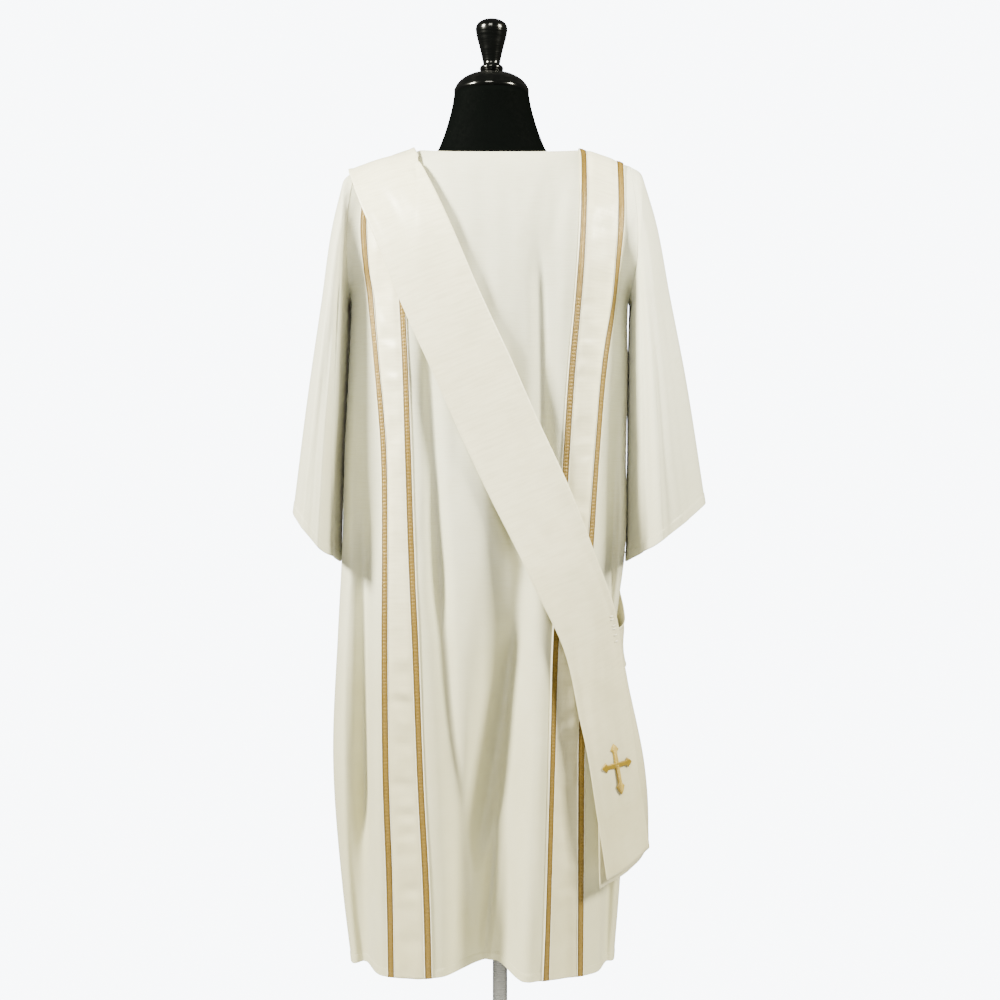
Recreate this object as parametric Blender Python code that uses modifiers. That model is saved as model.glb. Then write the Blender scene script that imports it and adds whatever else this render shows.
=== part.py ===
# A deacon's dalmatic with its sash stole, worn by a limbless dress form on a pole and a foot plate.
# Metres, +Z up. The origin is on the floor on the pole's axis, and the wearer's back faces -Y.
# Run with: blender --background --python part.py
import math

import bmesh
import bpy
import numpy as np
from mathutils import Matrix

# ---- driving dimensions -------------------------------------------------------------------------
HEM_Z = 0.2925            # height of the hem
UNDERARM_Z = 1.27         # height at which the side seams end and the armholes start
NECK_POINT_Z = 1.499      # top of the shoulder seams, at the neck
NECK_HALF = 0.1185        # half the width of the neck opening, along the shoulder line
NECK_CENTRE_X = 0.001
SHOULDER_SLOPE = 0.33     # fall of the shoulder seam for each metre outward
ARMHOLE_REACH = 0.085     # how far the armhole swells to the back and to the front
BODY_ROUNDNESS = 2.6      # exponent of the body's section: 2 is an ellipse, more is boxier
GROW_DEPTH = 0.15         # a widened section also deepens, by this share of its widening
NECK_ROUNDNESS = 2.6      # exponent of the neck opening's curve
HEM_LIFT = 0.16           # the hem rises by this share of the depth of a fold
HEM_LIFT_RISE = 0.25      # height over which that rise fades out
FOLD_FADE = 0.35          # share of a fold's length over which it starts and ends
FOLD_START = 0.40         # how much of that start is already there at the fold's top

PANEL_WALL = 0.0014
BAND_WALL = 0.0010
BRAID_WALL = 0.0012
SASH_WALL = 0.0014
BRAID_WIDTH = 0.0100
SEAM = 0.0006             # each panel's edge stands this far from the seam's plane
SLEEVE_SEAM = 0.0012      # the sleeve head stands this far out from the armhole
LAYER_GAP = 0.0003        # air between cloth that lies on cloth

FORM_LEAN = -0.008        # sideways lean of the form, metres for each metre of height
POLE_RADIUS = 0.011
PLATE_RADIUS = 0.170
PLATE_THICK = 0.012
TORSO_FOOT_Z = 0.790
NECK_TOP_Z = 1.581
NECK_TILT_FROM_Z = 1.50   # the neck starts to tip towards its cap's tilt here
CAP_TILT = math.radians(5.0)

# One row for each section of the body, from the hem up. left and right are the side seams and, above
# the underarm, the armholes. The next four are the centre lines of the braids, the same on both sides.
BODY_COLUMNS = ("z", "left", "left_outer", "left_inner", "right_inner", "right_outer", "right",
                "back", "front")
BODY_SECTIONS = (
    (0.2925, -0.2220, -0.1550, -0.1020, 0.0645, 0.1140, 0.1700, 0.168, 0.160),
    (0.4050, -0.2355, -0.1570, -0.1045, 0.0680, 0.1150, 0.1790, 0.163, 0.158),
    (0.5850, -0.2490, -0.1635, -0.1135, 0.0735, 0.1165, 0.1880, 0.152, 0.154),
    (0.7800, -0.2420, -0.1655, -0.1215, 0.0800, 0.1210, 0.1730, 0.140, 0.148),
    (0.9000, -0.2360, -0.1655, -0.1270, 0.0880, 0.1300, 0.1870, 0.132, 0.146),
    (1.0500, -0.2320, -0.1680, -0.1320, 0.0960, 0.1405, 0.1890, 0.128, 0.142),
    (1.1700, -0.2260, -0.1780, -0.1360, 0.1040, 0.1510, 0.1910, 0.128, 0.142),
    (1.2700, -0.2220, -0.1880, -0.1410, 0.1130, 0.1655, 0.1920, 0.129, 0.140),
    (1.3300, -0.2240, -0.1950, -0.1440, 0.1175, 0.1710, 0.2000, 0.128, 0.134),
    (1.3900, -0.2230, -0.1990, -0.1450, 0.1205, 0.1760, 0.2005, 0.126, 0.128),
    (1.4900, -0.2150, -0.1900, -0.1350, 0.1225, 0.1780, 0.1930, 0.120, 0.118),
)

# Heights of the panel rows above the underarm, as fractions of the way up to the shoulder seam.
YOKE_ROWS = (0.18, 0.38, 0.58, 0.76, 0.90, 0.975, 1.0)
SKIRT_ROWS = 12
# How many strips each stretch of a panel is cut into, from the left side seam to the right one.
SIDE_STRIPS = 5
BAND_STRIPS = 2
CENTRE_STRIPS = 9

# Folds of the body. Each runs straight between two places, deepens from its top to its bottom, and
# has a flank of its own on each side. A trough has a negative depth.
FOLD_COLUMNS = ("side", "top_x", "top_z", "bottom_x", "bottom_z", "top_depth", "bottom_depth",
                "left_width", "right_width")
FOLDS = (
    ("back", 0.035, 0.960, -0.008, 0.2925, -0.012, -0.082, 0.060, 0.026),
    ("back", 0.062, 0.960, 0.040, 0.2925, 0.008, 0.010, 0.018, 0.022),
    ("back", -0.092, 0.920, -0.052, 0.2925, -0.010, -0.004, 0.018, 0.020),
    ("back", -0.205, 1.020, -0.196, 0.2925, -0.014, -0.040, 0.020, 0.014),
    ("back", 0.170, 1.060, 0.158, 0.2925, -0.012, -0.036, 0.010, 0.016),
    ("back", -0.104, 1.220, -0.088, 0.900, -0.005, -0.008, 0.016, 0.018),
    ("back", 0.058, 1.330, 0.066, 1.000, -0.005, -0.008, 0.016, 0.016),
    ("front", 0.015, 1.050, 0.030, 0.2925, -0.010, -0.060, 0.034, 0.050),
    ("front", -0.040, 0.960, -0.046, 0.2925, 0.006, 0.010, 0.024, 0.020),
    ("front", 0.096, 0.880, 0.100, 0.2925, -0.006, -0.022, 0.018, 0.024),
    ("front", -0.070, 1.150, -0.078, 0.2925, -0.006, -0.014, 0.020, 0.018),
    ("front", -0.198, 0.980, -0.190, 0.2925, -0.012, -0.036, 0.018, 0.014),
    ("front", 0.160, 1.000, 0.152, 0.2925, -0.012, -0.034, 0.012, 0.016),
)

# One row for each ring of a sleeve below its head, from the shoulder to the cuff. outer and inner
# are the ring's two ends, away from the body and against it.
SLEEVE_COLUMNS = ("along", "outer_x", "outer_z", "inner_x", "inner_z", "back", "front")
RIGHT_SLEEVE = (
    (0.06, 0.2130, 1.4560, 0.2000, 1.2600, 0.092, 0.092),
    (0.18, 0.2310, 1.3950, 0.1965, 1.2330, 0.102, 0.102),
    (0.40, 0.2530, 1.2800, 0.1935, 1.1500, 0.112, 0.114),
    (0.65, 0.2770, 1.1560, 0.1918, 1.0450, 0.118, 0.122),
    (1.00, 0.3060, 0.9720, 0.1892, 0.8830, 0.122, 0.128),
)
LEFT_SLEEVE = (
    (0.06, 0.2340, 1.4480, 0.2290, 1.2600, 0.094, 0.092),
    (0.18, 0.2480, 1.3880, 0.2275, 1.2330, 0.106, 0.104),
    (0.40, 0.2650, 1.2700, 0.2300, 1.1500, 0.118, 0.120),
    (0.65, 0.2840, 1.1400, 0.2352, 1.0450, 0.126, 0.130),
    (1.00, 0.3070, 0.9600, 0.2398, 0.8830, 0.132, 0.138),
)
# Folds of the sleeves: the angle round the ring, 0 at its outer end and 90 at the back.
SLEEVE_FOLD_COLUMNS = ("side", "angle", "half_width", "depth_at_head", "depth_at_cuff")
SLEEVE_FOLDS = (
    ("right", 150, 22, -0.004, -0.034),
    ("right", 112, 14, 0.002, 0.010),
    ("right", 48, 16, -0.002, -0.010),
    ("right", 236, 16, -0.003, -0.024),
    ("right", 290, 18, 0.000, 0.010),
    ("left", 152, 22, -0.004, -0.036),
    ("left", 116, 13, 0.002, 0.010),
    ("left", 52, 14, 0.000, -0.008),
    ("left", 250, 16, -0.003, -0.022),
    ("left", 300, 18, 0.000, 0.010),
)
SLEEVE_POWER = 0.85       # 1 is an elliptical ring, less is boxier
SLEEVE_SEGMENTS = 20
SLEEVE_RINGS = (0.0, 0.06, 0.14, 0.26, 0.40, 0.56, 0.74, 0.88, 1.0)

# The sash stole, as stations from the left shoulder to the end of its tail. The angle runs round the
# body: -90 is the left side, 0 the back, 90 the right side and -180 the front. The upper edge is the
# one beside the neck. The front half turns down at the right hip, under the back half's tail, so its
# upper edge is on the left there. clear is the air under the sash, over the section it lies on, and
# grow is how much wider than the body that section is.
SASH_COLUMNS = ("along", "lower_angle", "lower_z", "upper_angle", "upper_z", "clear", "grow")
SASH_BACK = (
    (0.00, -64.4, 1.4640, -30.0, 1.4985, 0.0052, 0.030),
    (0.10, -45.5, 1.3650, -17.2, 1.3990, 0.0056, 0.030),
    (0.20, -32.2, 1.2600, -6.3, 1.2990, 0.0060, 0.030),
    (0.30, -19.1, 1.1580, 5.5, 1.1990, 0.0064, 0.030),
    (0.40, -7.2, 1.0570, 16.9, 1.0995, 0.0070, 0.030),
    (0.50, 4.5, 0.9570, 29.1, 0.9995, 0.0080, 0.030),
    (0.60, 17.2, 0.8590, 40.5, 0.8980, 0.0110, 0.030),
    (0.70, 31.2, 0.7580, 55.1, 0.7930, 0.0150, 0.030),
    (0.80, 35.6, 0.6505, 58.6, 0.6870, 0.0170, 0.030),
    (0.90, 39.8, 0.5410, 60.9, 0.5780, 0.0180, 0.030),
    (1.00, 45.5, 0.4330, 69.9, 0.4700, 0.0190, 0.030),
)
SASH_FRONT = (
    (0.00, -115.6, 1.4640, -150.0, 1.4985, 0.0052, 0.030),
    (0.10, -133.7, 1.3550, -163.8, 1.3960, 0.0056, 0.030),
    (0.20, -148.0, 1.2480, -175.7, 1.2940, 0.0060, 0.030),
    (0.30, -160.4, 1.1440, -190.1, 1.1930, 0.0060, 0.030),
    (0.40, -172.6, 1.0400, -202.8, 1.0900, 0.0060, 0.028),
    (0.50, -192.7, 0.9380, -218.8, 0.9860, 0.0060, 0.022),
    (0.58, -209.0, 0.8500, -236.4, 0.9050, 0.0060, 0.014),
    (0.65, -232.7, 0.7750, -256.8, 0.8260, 0.0060, 0.007),
    (0.71, -263.0, 0.7350, -283.2, 0.7900, 0.0060, 0.005),
    (0.76, -282.3, 0.7280, -314.6, 0.7850, 0.0060, 0.009),
    (0.81, -287.4, 0.7150, -325.0, 0.7650, 0.0060, 0.014),
    (0.86, -286.0, 0.6400, -320.6, 0.6900, 0.0060, 0.020),
    (1.00, -273.0, 0.4700, -316.2, 0.4200, 0.0060, 0.030),
)
SASH_STRIPS = 5
# Stations close together over the shoulder's edge, then even ones.
SASH_STATIONS = (0.0, 0.006, 0.02, 0.045, 0.08, 0.12, 0.17, 0.23, 0.30, 0.37, 0.44, 0.51, 0.58, 0.65,
                 0.71, 0.76, 0.80, 0.85, 0.90, 0.95, 1.0)

# One row for each section of the form's torso, from its foot to the top of its neck.
TORSO_COLUMNS = ("z", "half_width", "back", "front")
TORSO_SECTIONS = (
    (TORSO_FOOT_Z, 0.158, 0.098, 0.100),
    (0.860, 0.164, 0.104, 0.104),
    (0.960, 0.150, 0.094, 0.098),
    (1.050, 0.134, 0.084, 0.092),
    (1.150, 0.146, 0.092, 0.104),
    (1.250, 0.162, 0.100, 0.112),
    (1.340, 0.174, 0.100, 0.100),
    (1.400, 0.174, 0.093, 0.084),
    (1.440, 0.160, 0.084, 0.072),
    (1.468, 0.122, 0.070, 0.056),
    (1.490, 0.088, 0.062, 0.053),
    (1.515, 0.074, 0.059, 0.054),
    (1.535, 0.067, 0.057, 0.055),
    (1.560, 0.060, 0.056, 0.056),
    (NECK_TOP_Z, 0.0562, 0.0562, 0.0562),
)
TORSO_SEGMENTS = 28
TORSO_ROUNDNESS = 2.3

# Turned profiles: (radius, height above the piece's foot), from the top down the outer side.
CAP_PROFILE = ((0.0, 0.0350), (0.018, 0.0335), (0.036, 0.0285), (0.048, 0.0210), (0.0545, 0.0120),
               (0.0562, 0.0060), (0.0562, 0.0), (0.0, 0.0))
FINIAL_PROFILE = ((0.0, 0.0815), (0.010, 0.0808), (0.018, 0.0778), (0.0230, 0.0725), (0.0240, 0.0670),
                  (0.0222, 0.0580), (0.0175, 0.0390), (0.0130, 0.0170), (0.0122, 0.0120),
                  (0.0165, 0.0095), (0.0180, 0.0060), (0.0165, 0.0020), (0.0150, 0.0), (0.0, 0.0))
FINIAL_FOOT = 0.0353      # height of the finial's foot over the cap's, along the tilted axis

# The embroidered cross near the sash's end: its place on the sash as fractions, and its arms.
CROSS_ALONG = 0.868
CROSS_ACROSS = 0.50
CROSS_WALL = 0.0010
CROSS_LIFT = 0.0007       # from the sash's face to the cross's middle plane, over the cloth's curve
CROSS_ARMS = {"up": 0.031, "right": 0.026, "down": 0.043, "left": 0.026}
# Half of one arm's outline: (back from the tip, out from the arm's middle line).
CROSS_ARM_PROFILE = ((0.0125, 0.0034), (0.0105, 0.0068), (0.0075, 0.0044), (0.0, 0.0))

# name: (base colour, roughness, metallic)
MATERIALS = {
    "ivory_cloth": ((0.80, 0.79, 0.73, 1.0), 0.75, 0.0),
    "ivory_satin": ((0.84, 0.81, 0.70, 1.0), 0.45, 0.0),
    "gold_braid": ((0.52, 0.36, 0.14, 1.0), 0.50, 0.0),
    "gold_embroidery": ((0.56, 0.36, 0.06, 1.0), 0.40, 0.0),
    "black_jersey": ((0.008, 0.008, 0.010, 1.0), 0.80, 0.0),
    "black_gloss": ((0.012, 0.011, 0.011, 1.0), 0.15, 0.0),
    "steel_pole": ((0.42, 0.42, 0.42, 1.0), 0.35, 1.0),
    "foot_paint": ((0.05, 0.05, 0.055, 1.0), 0.45, 0.0),
}


# ---- tables and curves --------------------------------------------------------------------------
def smooth_column(rows, columns, name, at, key):
    """A table's column as a smooth curve of its key column, a cubic Hermite through the rows."""
    keys = np.array([row[columns.index(key)] for row in rows])
    values = np.array([row[columns.index(name)] for row in rows])
    slopes = np.gradient(values, keys)
    at = np.clip(np.asarray(at, dtype=float), keys[0], keys[-1])
    cell = np.clip(np.searchsorted(keys, at, side="right") - 1, 0, len(keys) - 2)
    step = keys[cell + 1] - keys[cell]
    f = (at - keys[cell]) / step
    return (values[cell] * (2 * f ** 3 - 3 * f ** 2 + 1) + slopes[cell] * step * (f ** 3 - 2 * f ** 2 + f)
            + values[cell + 1] * (3 * f ** 2 - 2 * f ** 3) + slopes[cell + 1] * step * (f ** 3 - f ** 2))


def body_column(name, z):
    return smooth_column(BODY_SECTIONS, BODY_COLUMNS, name, z, "z")


def smooth_step(f):
    f = np.clip(f, 0.0, 1.0)
    return f * f * (3 - 2 * f)


# ---- the body's surface -------------------------------------------------------------------------
NECK_DROP = {"back": 0.017, "front": 0.052}     # how far the neck's edge dips at the centre
NECK_REACH = {"back": 0.086, "front": 0.094}    # how far the neck's edge stands out at the centre
FACING = {"back": -1.0, "front": 1.0}           # the side of the seam plane that a panel lies on


def neck_share(x):
    """1 at the centre of the neck opening, and 0 from its side points outward."""
    s = np.clip(np.abs(x - NECK_CENTRE_X) / NECK_HALF, 0.0, 1.0)
    return np.sqrt(1.0 - s ** NECK_ROUNDNESS)


def top_edge_z(side, x):
    """Height of the panel's top edge: the neck's dip, then the falling shoulder seam."""
    beyond = np.maximum(np.abs(x - NECK_CENTRE_X) - NECK_HALF, 0.0)
    return NECK_POINT_Z - SHOULDER_SLOPE * beyond - NECK_DROP[side] * neck_share(x)


def fold_depth(side, x, z):
    """The sum of one side's folds, each a bell across its line with a soft start at its top."""
    total = np.zeros_like(x)
    for row in FOLDS:
        fold = dict(zip(FOLD_COLUMNS, row))
        if fold["side"] != side:
            continue
        down = (fold["top_z"] - z) / (fold["top_z"] - fold["bottom_z"])
        line = fold["top_x"] + (fold["bottom_x"] - fold["top_x"]) * np.clip(down, -0.2, 1.2)
        depth = fold["top_depth"] + (fold["bottom_depth"] - fold["top_depth"]) * np.clip(down, 0.0, 1.0)
        ends_low = 1.0 if fold["bottom_z"] <= HEM_Z else 1.0 - smooth_step((down - 1.0) / FOLD_FADE)
        width = np.where(x < line, fold["left_width"], fold["right_width"])
        starts = smooth_step(FOLD_START + down / FOLD_FADE)
        total += depth * starts * ends_low * np.exp(-((x - line) / width) ** 2)
    return total


def body_reach(side, x, z, grow, folded):
    """How far the body stands out from the seam plane: a rounded section that rolls in over the
    shoulder, with the armhole's swell at its edges, and with the folds where they are asked for."""
    left = body_column("left", z) - grow
    right = body_column("right", z) + grow
    s = np.clip(np.abs(2 * x - left - right) / (right - left), 0.0, 1.0)
    own_s = np.clip(np.abs(2 * x - left - right) / (right - left - 2 * grow), 0.0, 1.0)
    depth = body_column(side, z) + GROW_DEPTH * grow
    section = depth * (1.0 - s ** BODY_ROUNDNESS) ** (1 / BODY_ROUNDNESS)
    up = np.clip((z - UNDERARM_Z) / (top_edge_z(side, x) - UNDERARM_Z), 0.0, 1.0)
    neck = NECK_REACH[side] * neck_share(x)
    swell = ARMHOLE_REACH * 2.0 * np.sqrt(up * (1.0 - up)) * own_s ** 2
    roll = np.sqrt(1.0 - up ** 3)
    reach = section * roll + neck * smooth_step(up * 2) * (1.0 - roll)
    if folded:
        reach = reach + fold_depth(side, x, z) * smooth_step((1.0 - s) / 0.12)
    return (np.maximum(reach, 0.0) ** 4 + swell ** 4) ** 0.25


def column_angles(z):
    """Angles round the section of every panel column, and the column numbers where braids start."""
    left, right = body_column("left", z), body_column("right", z)
    centre, half = (left + right) / 2, (right - left) / 2
    stops = [np.full_like(z, -math.pi / 2)]
    for name in ("left_outer", "left_inner", "right_inner", "right_outer"):
        for edge in (-BRAID_WIDTH / 2, BRAID_WIDTH / 2):
            stops.append(np.arcsin((body_column(name, z) + edge - centre) / half))
    stops.append(np.full_like(z, math.pi / 2))
    strips = (SIDE_STRIPS, 1, BAND_STRIPS, 1, CENTRE_STRIPS, 1, BAND_STRIPS, 1, SIDE_STRIPS)
    angles = [stops[0]]
    starts = []
    for number, count in enumerate(strips):
        if number % 2 == 1:
            starts.append(len(angles) - 1)
        for part in range(1, count + 1):
            angles.append(stops[number] + (stops[number + 1] - stops[number]) * part / count)
    return np.stack(angles, axis=1), starts


def panel_points(side):
    """A panel's grid of points, rows from the hem up and columns from left to right."""
    skirt = np.linspace(HEM_Z, UNDERARM_Z, SKIRT_ROWS + 1)
    rise = NECK_POINT_Z - UNDERARM_Z
    row_z = np.concatenate([skirt, UNDERARM_Z + rise * np.array(YOKE_ROWS)])
    up = np.concatenate([np.zeros(SKIRT_ROWS + 1), np.array(YOKE_ROWS)])
    angles, braid_starts = column_angles(row_z)
    left, right = body_column("left", row_z), body_column("right", row_z)
    x = ((left + right) / 2)[:, None] + ((right - left) / 2)[:, None] * np.sin(angles)
    on_top = UNDERARM_Z + (top_edge_z(side, x) - UNDERARM_Z) * up[:, None]
    z = np.where(up[:, None] > 0.0, on_top, row_z[:, None])
    reach = np.maximum(body_reach(side, x, z, 0.0, True), SEAM)
    lift = np.clip(-fold_depth(side, x, z), 0.0, 1.0) * HEM_LIFT
    z = z + lift * smooth_step((HEM_Z + HEM_LIFT_RISE - z) / HEM_LIFT_RISE)
    return np.stack([x, FACING[side] * reach, z], axis=2), braid_starts


def grid_normals(points, wraps=False):
    """Unit normals of a grid, from the differences along its two directions."""
    if wraps:
        across = np.roll(points, -1, axis=1) - np.roll(points, 1, axis=1)
    else:
        across = np.gradient(points, axis=1)
    up = np.gradient(points, axis=0)
    normals = np.cross(across, up)
    return normals / np.maximum(np.linalg.norm(normals, axis=2, keepdims=True), 1e-9)


def panel_normals(side, points):
    """The panel's outward normals, level with the seam planes along the shoulder and side seams."""
    normals = grid_normals(points) * (1.0 if side == "back" else -1.0)
    on_seam = np.abs(points[:, :, 1]) <= SEAM * 1.01
    normals[:, :, 1] = np.where(on_seam, 0.0, normals[:, :, 1])
    return normals / np.linalg.norm(normals, axis=2, keepdims=True)


# ---- objects ------------------------------------------------------------------------------------
def clear_scene():
    for old in list(bpy.data.objects):
        bpy.data.objects.remove(old, do_unlink=True)


def make_material(name):
    colour, roughness, metallic = MATERIALS[name]
    material = bpy.data.materials.new(name)
    material.use_nodes = True
    shader = material.node_tree.nodes["Principled BSDF"]
    shader.inputs["Base Color"].default_value = colour
    shader.inputs["Roughness"].default_value = roughness
    shader.inputs["Metallic"].default_value = metallic
    material.diffuse_color = colour
    return material


def add_part(mesh, name, material, collection):
    part = bpy.data.objects.new(name, mesh)
    mesh.materials.append(bpy.data.materials[material])
    collection.objects.link(part)
    return part


def grid_mesh(name, points, wraps=False, flip=False):
    """A mesh of triangles over a grid of points. Every grid is split along the same diagonal, so that
    cloth which lies on cloth keeps an even gap."""
    rows, columns = points.shape[:2]
    faces = []
    for row in range(rows - 1):
        for column in range(columns if wraps else columns - 1):
            beside = (column + 1) % columns
            a, b = row * columns + column, row * columns + beside
            c, d = a + columns, b + columns
            faces += [(a, c, b), (b, c, d)] if flip else [(a, b, c), (b, d, c)]
    mesh = bpy.data.meshes.new(name)
    mesh.from_pydata(points.reshape(-1, 3).tolist(), [], faces)
    mesh.update()
    mesh.shade_smooth()
    return mesh


def cloth(name, points, wall, material, collection, wraps=False, flip=False):
    """A cloth wall: the grid is its outer face, and the thickness goes inward."""
    part = add_part(grid_mesh(name, points, wraps, flip), name, material, collection)
    shell = part.modifiers.new("wall", "SOLIDIFY")
    shell.thickness = wall
    shell.offset = -1.0
    return part


def turned(name, profile, material, collection, steps=28):
    """A turned piece: a profile in the XZ plane, spun about Z."""
    mesh = bpy.data.meshes.new(name)
    points = [(radius, 0.0, height) for radius, height in profile]
    mesh.from_pydata(points, [(i, i + 1) for i in range(len(points) - 1)], [])
    part = add_part(mesh, name, material, collection)
    spin = part.modifiers.new("spin", "SCREW")
    spin.steps = steps
    spin.render_steps = steps
    spin.use_merge_vertices = True
    spin.merge_threshold = 0.0001
    spin.use_smooth_shade = True
    return part


# ---- the garment --------------------------------------------------------------------------------
def build_panel(side, collection):
    points, braid_starts = panel_points(side)
    normals = panel_normals(side, points)
    flip = side == "front"
    cloth(f"{side}_panel", points, PANEL_WALL, "ivory_cloth", collection, flip=flip)
    band_out = LAYER_GAP + BAND_WALL
    braid_out = band_out + LAYER_GAP + BRAID_WALL
    bands = {"left": braid_starts[:2], "right": braid_starts[2:]}
    for hand, starts in bands.items():
        span = slice(starts[0], starts[1] + 2)
        on_panel = points[:, span] + normals[:, span] * band_out
        cloth(f"band_{side}_{hand}", on_panel, BAND_WALL, "ivory_satin", collection, flip=flip)
        names = ("outer", "inner") if hand == "left" else ("inner", "outer")
        for start, place in zip(starts, names):
            span = slice(start, start + 2)
            on_band = points[:, span] + normals[:, span] * braid_out
            cloth(f"braid_{side}_{hand}_{place}", on_band, BRAID_WALL, "gold_braid", collection, flip=flip)


def sleeve_points(hand):
    """A sleeve's rings, from the armhole to the cuff. Each ring runs from its outer end round the
    back to its inner end, and on round the front."""
    table = RIGHT_SLEEVE if hand == "right" else LEFT_SLEEVE
    out = 1.0 if hand == "right" else -1.0
    turn = np.linspace(0.0, 2 * math.pi, SLEEVE_SEGMENTS, endpoint=False)[None, :]
    along = np.array(SLEEVE_RINGS)[:, None]

    def column(name):
        return smooth_column(table, SLEEVE_COLUMNS, name, along, "along")

    def between(outer, inner):
        return (outer + inner + (outer - inner) * np.cos(turn)) / 2

    x = out * between(column("outer_x"), column("inner_x"))
    z = between(column("outer_z"), column("inner_z"))
    swing = np.sin(turn)
    reach = np.where(swing > 0, column("back"), column("front")) * np.abs(swing) ** SLEEVE_POWER
    for row in SLEEVE_FOLDS:
        fold = dict(zip(SLEEVE_FOLD_COLUMNS, row))
        if fold["side"] == hand:
            depth = fold["depth_at_head"] + (fold["depth_at_cuff"] - fold["depth_at_head"]) * along
            reach = reach + depth * np.exp(-((np.degrees(turn) - fold["angle"]) / fold["half_width"]) ** 2)
    points = np.stack([x, -np.sign(swing) * np.maximum(reach, 0.0), z], axis=2)
    points[0] = armhole_ring(hand, turn[0])
    return points


def armhole_ring(hand, turn):
    """The loop of the armhole, a little outside the panels' edges."""
    top = float(top_edge_z("back", body_column(hand, 1.49)))
    z = (top + UNDERARM_Z) / 2 + (top - UNDERARM_Z) / 2 * np.cos(turn)
    out = SLEEVE_SEAM if hand == "right" else -SLEEVE_SEAM
    return np.stack([body_column(hand, z) + out, -ARMHOLE_REACH * np.sin(turn), z], axis=1)


def build_sleeve(hand, collection):
    cloth(f"sleeve_{hand}", sleeve_points(hand), PANEL_WALL, "ivory_cloth", collection,
          wraps=True, flip=hand == "left")


# ---- the sash stole -----------------------------------------------------------------------------
def around_body(angle, z, grow):
    """A point on the widened body section at an angle in degrees, front and back alike."""
    turn = np.radians(angle)
    left = body_column("left", z) - grow
    right = body_column("right", z) + grow
    x = (left + right) / 2 + (right - left) / 2 * np.sin(turn)
    at_back = np.cos(turn) >= 0.0
    reach = np.where(at_back, body_reach("back", x, z, grow, False), body_reach("front", x, z, grow, False))
    return np.stack([x, np.where(at_back, -1.0, 1.0) * np.maximum(reach, SEAM), z], axis=-1)


def sash_points(table):
    along = np.array(SASH_STATIONS)[:, None]
    across = np.linspace(0.0, 1.0, SASH_STRIPS + 1)[None, :]

    def column(name):
        return smooth_column(table, SASH_COLUMNS, name, along, "along")

    angle = column("lower_angle") + (column("upper_angle") - column("lower_angle")) * across
    z = column("lower_z") + (column("upper_z") - column("lower_z")) * across
    base = around_body(angle, z, column("grow"))
    side = "back" if table is SASH_BACK else "front"
    base[0, :, 2] = top_edge_z(side, base[0, :, 0])
    base[0, :, 1] = FACING[side] * SEAM
    normals = grid_normals(base)
    normals = normals * (-1.0 if side == "back" else 1.0)
    normals[0] = (0.0, 0.0, 1.0)
    return base + normals * (column("clear") + SASH_WALL)[:, :, None]


def cross_outline():
    """The cross as a flat loop of points: each arm is a bar with a barbed, pointed end."""
    bar = CROSS_ARM_PROFILE[0][1]
    loop = []
    for number, name in enumerate(("right", "up", "left", "down")):
        reach = CROSS_ARMS[name]
        side = [(reach - back, -out) for back, out in CROSS_ARM_PROFILE]
        side += [(reach - back, out) for back, out in reversed(CROSS_ARM_PROFILE[:-1])]
        side.append((bar, bar))
        turn = math.pi / 2 * number
        loop += [(u * math.cos(turn) - v * math.sin(turn), u * math.sin(turn) + v * math.cos(turn))
                 for u, v in side]
    return loop


def build_cross(sash, collection):
    """The cross lies flat against the sash's tail, upright along the sash."""
    row = int(np.searchsorted(SASH_STATIONS, CROSS_ALONG)) - 1
    share = (CROSS_ALONG - SASH_STATIONS[row]) / (SASH_STATIONS[row + 1] - SASH_STATIONS[row])
    place = CROSS_ACROSS * SASH_STRIPS
    column = int(place)
    beside = place - column
    low = sash[row, column] * (1 - beside) + sash[row, column + 1] * beside
    high = sash[row + 1, column] * (1 - beside) + sash[row + 1, column + 1] * beside
    centre = low * (1 - share) + high * share
    up = (low - high) / np.linalg.norm(low - high)
    out = np.cross(sash[row, column + 1] - sash[row, column], up)
    out = out / np.linalg.norm(out)
    right = np.cross(up, out)
    curve = bpy.data.curves.new("stole_cross", "CURVE")
    curve.dimensions = "2D"
    curve.fill_mode = "BOTH"
    curve.extrude = CROSS_WALL / 2
    outline = cross_outline()
    line = curve.splines.new("POLY")
    line.points.add(len(outline) - 1)
    for point, (u, v) in zip(line.points, outline):
        point.co = (u, v, 0.0, 1.0)
    line.use_cyclic_u = True
    centre = centre + out * (CROSS_LIFT + CROSS_WALL / 2)
    cross = add_part(curve, "stole_cross", "gold_embroidery", collection)
    cross.matrix_world = Matrix((
        (right[0], up[0], out[0], centre[0]),
        (right[1], up[1], out[1], centre[1]),
        (right[2], up[2], out[2], centre[2]),
        (0.0, 0.0, 0.0, 1.0)))


def build_sash(collection):
    build_cross(sash_points(SASH_BACK), collection)
    cloth("stole_back", sash_points(SASH_BACK), SASH_WALL, "ivory_satin", collection, flip=True)
    cloth("stole_front", sash_points(SASH_FRONT), SASH_WALL, "ivory_satin", collection, flip=False)


# ---- the dress form -----------------------------------------------------------------------------
def form_centre_x(z):
    return FORM_LEAN * z


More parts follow.
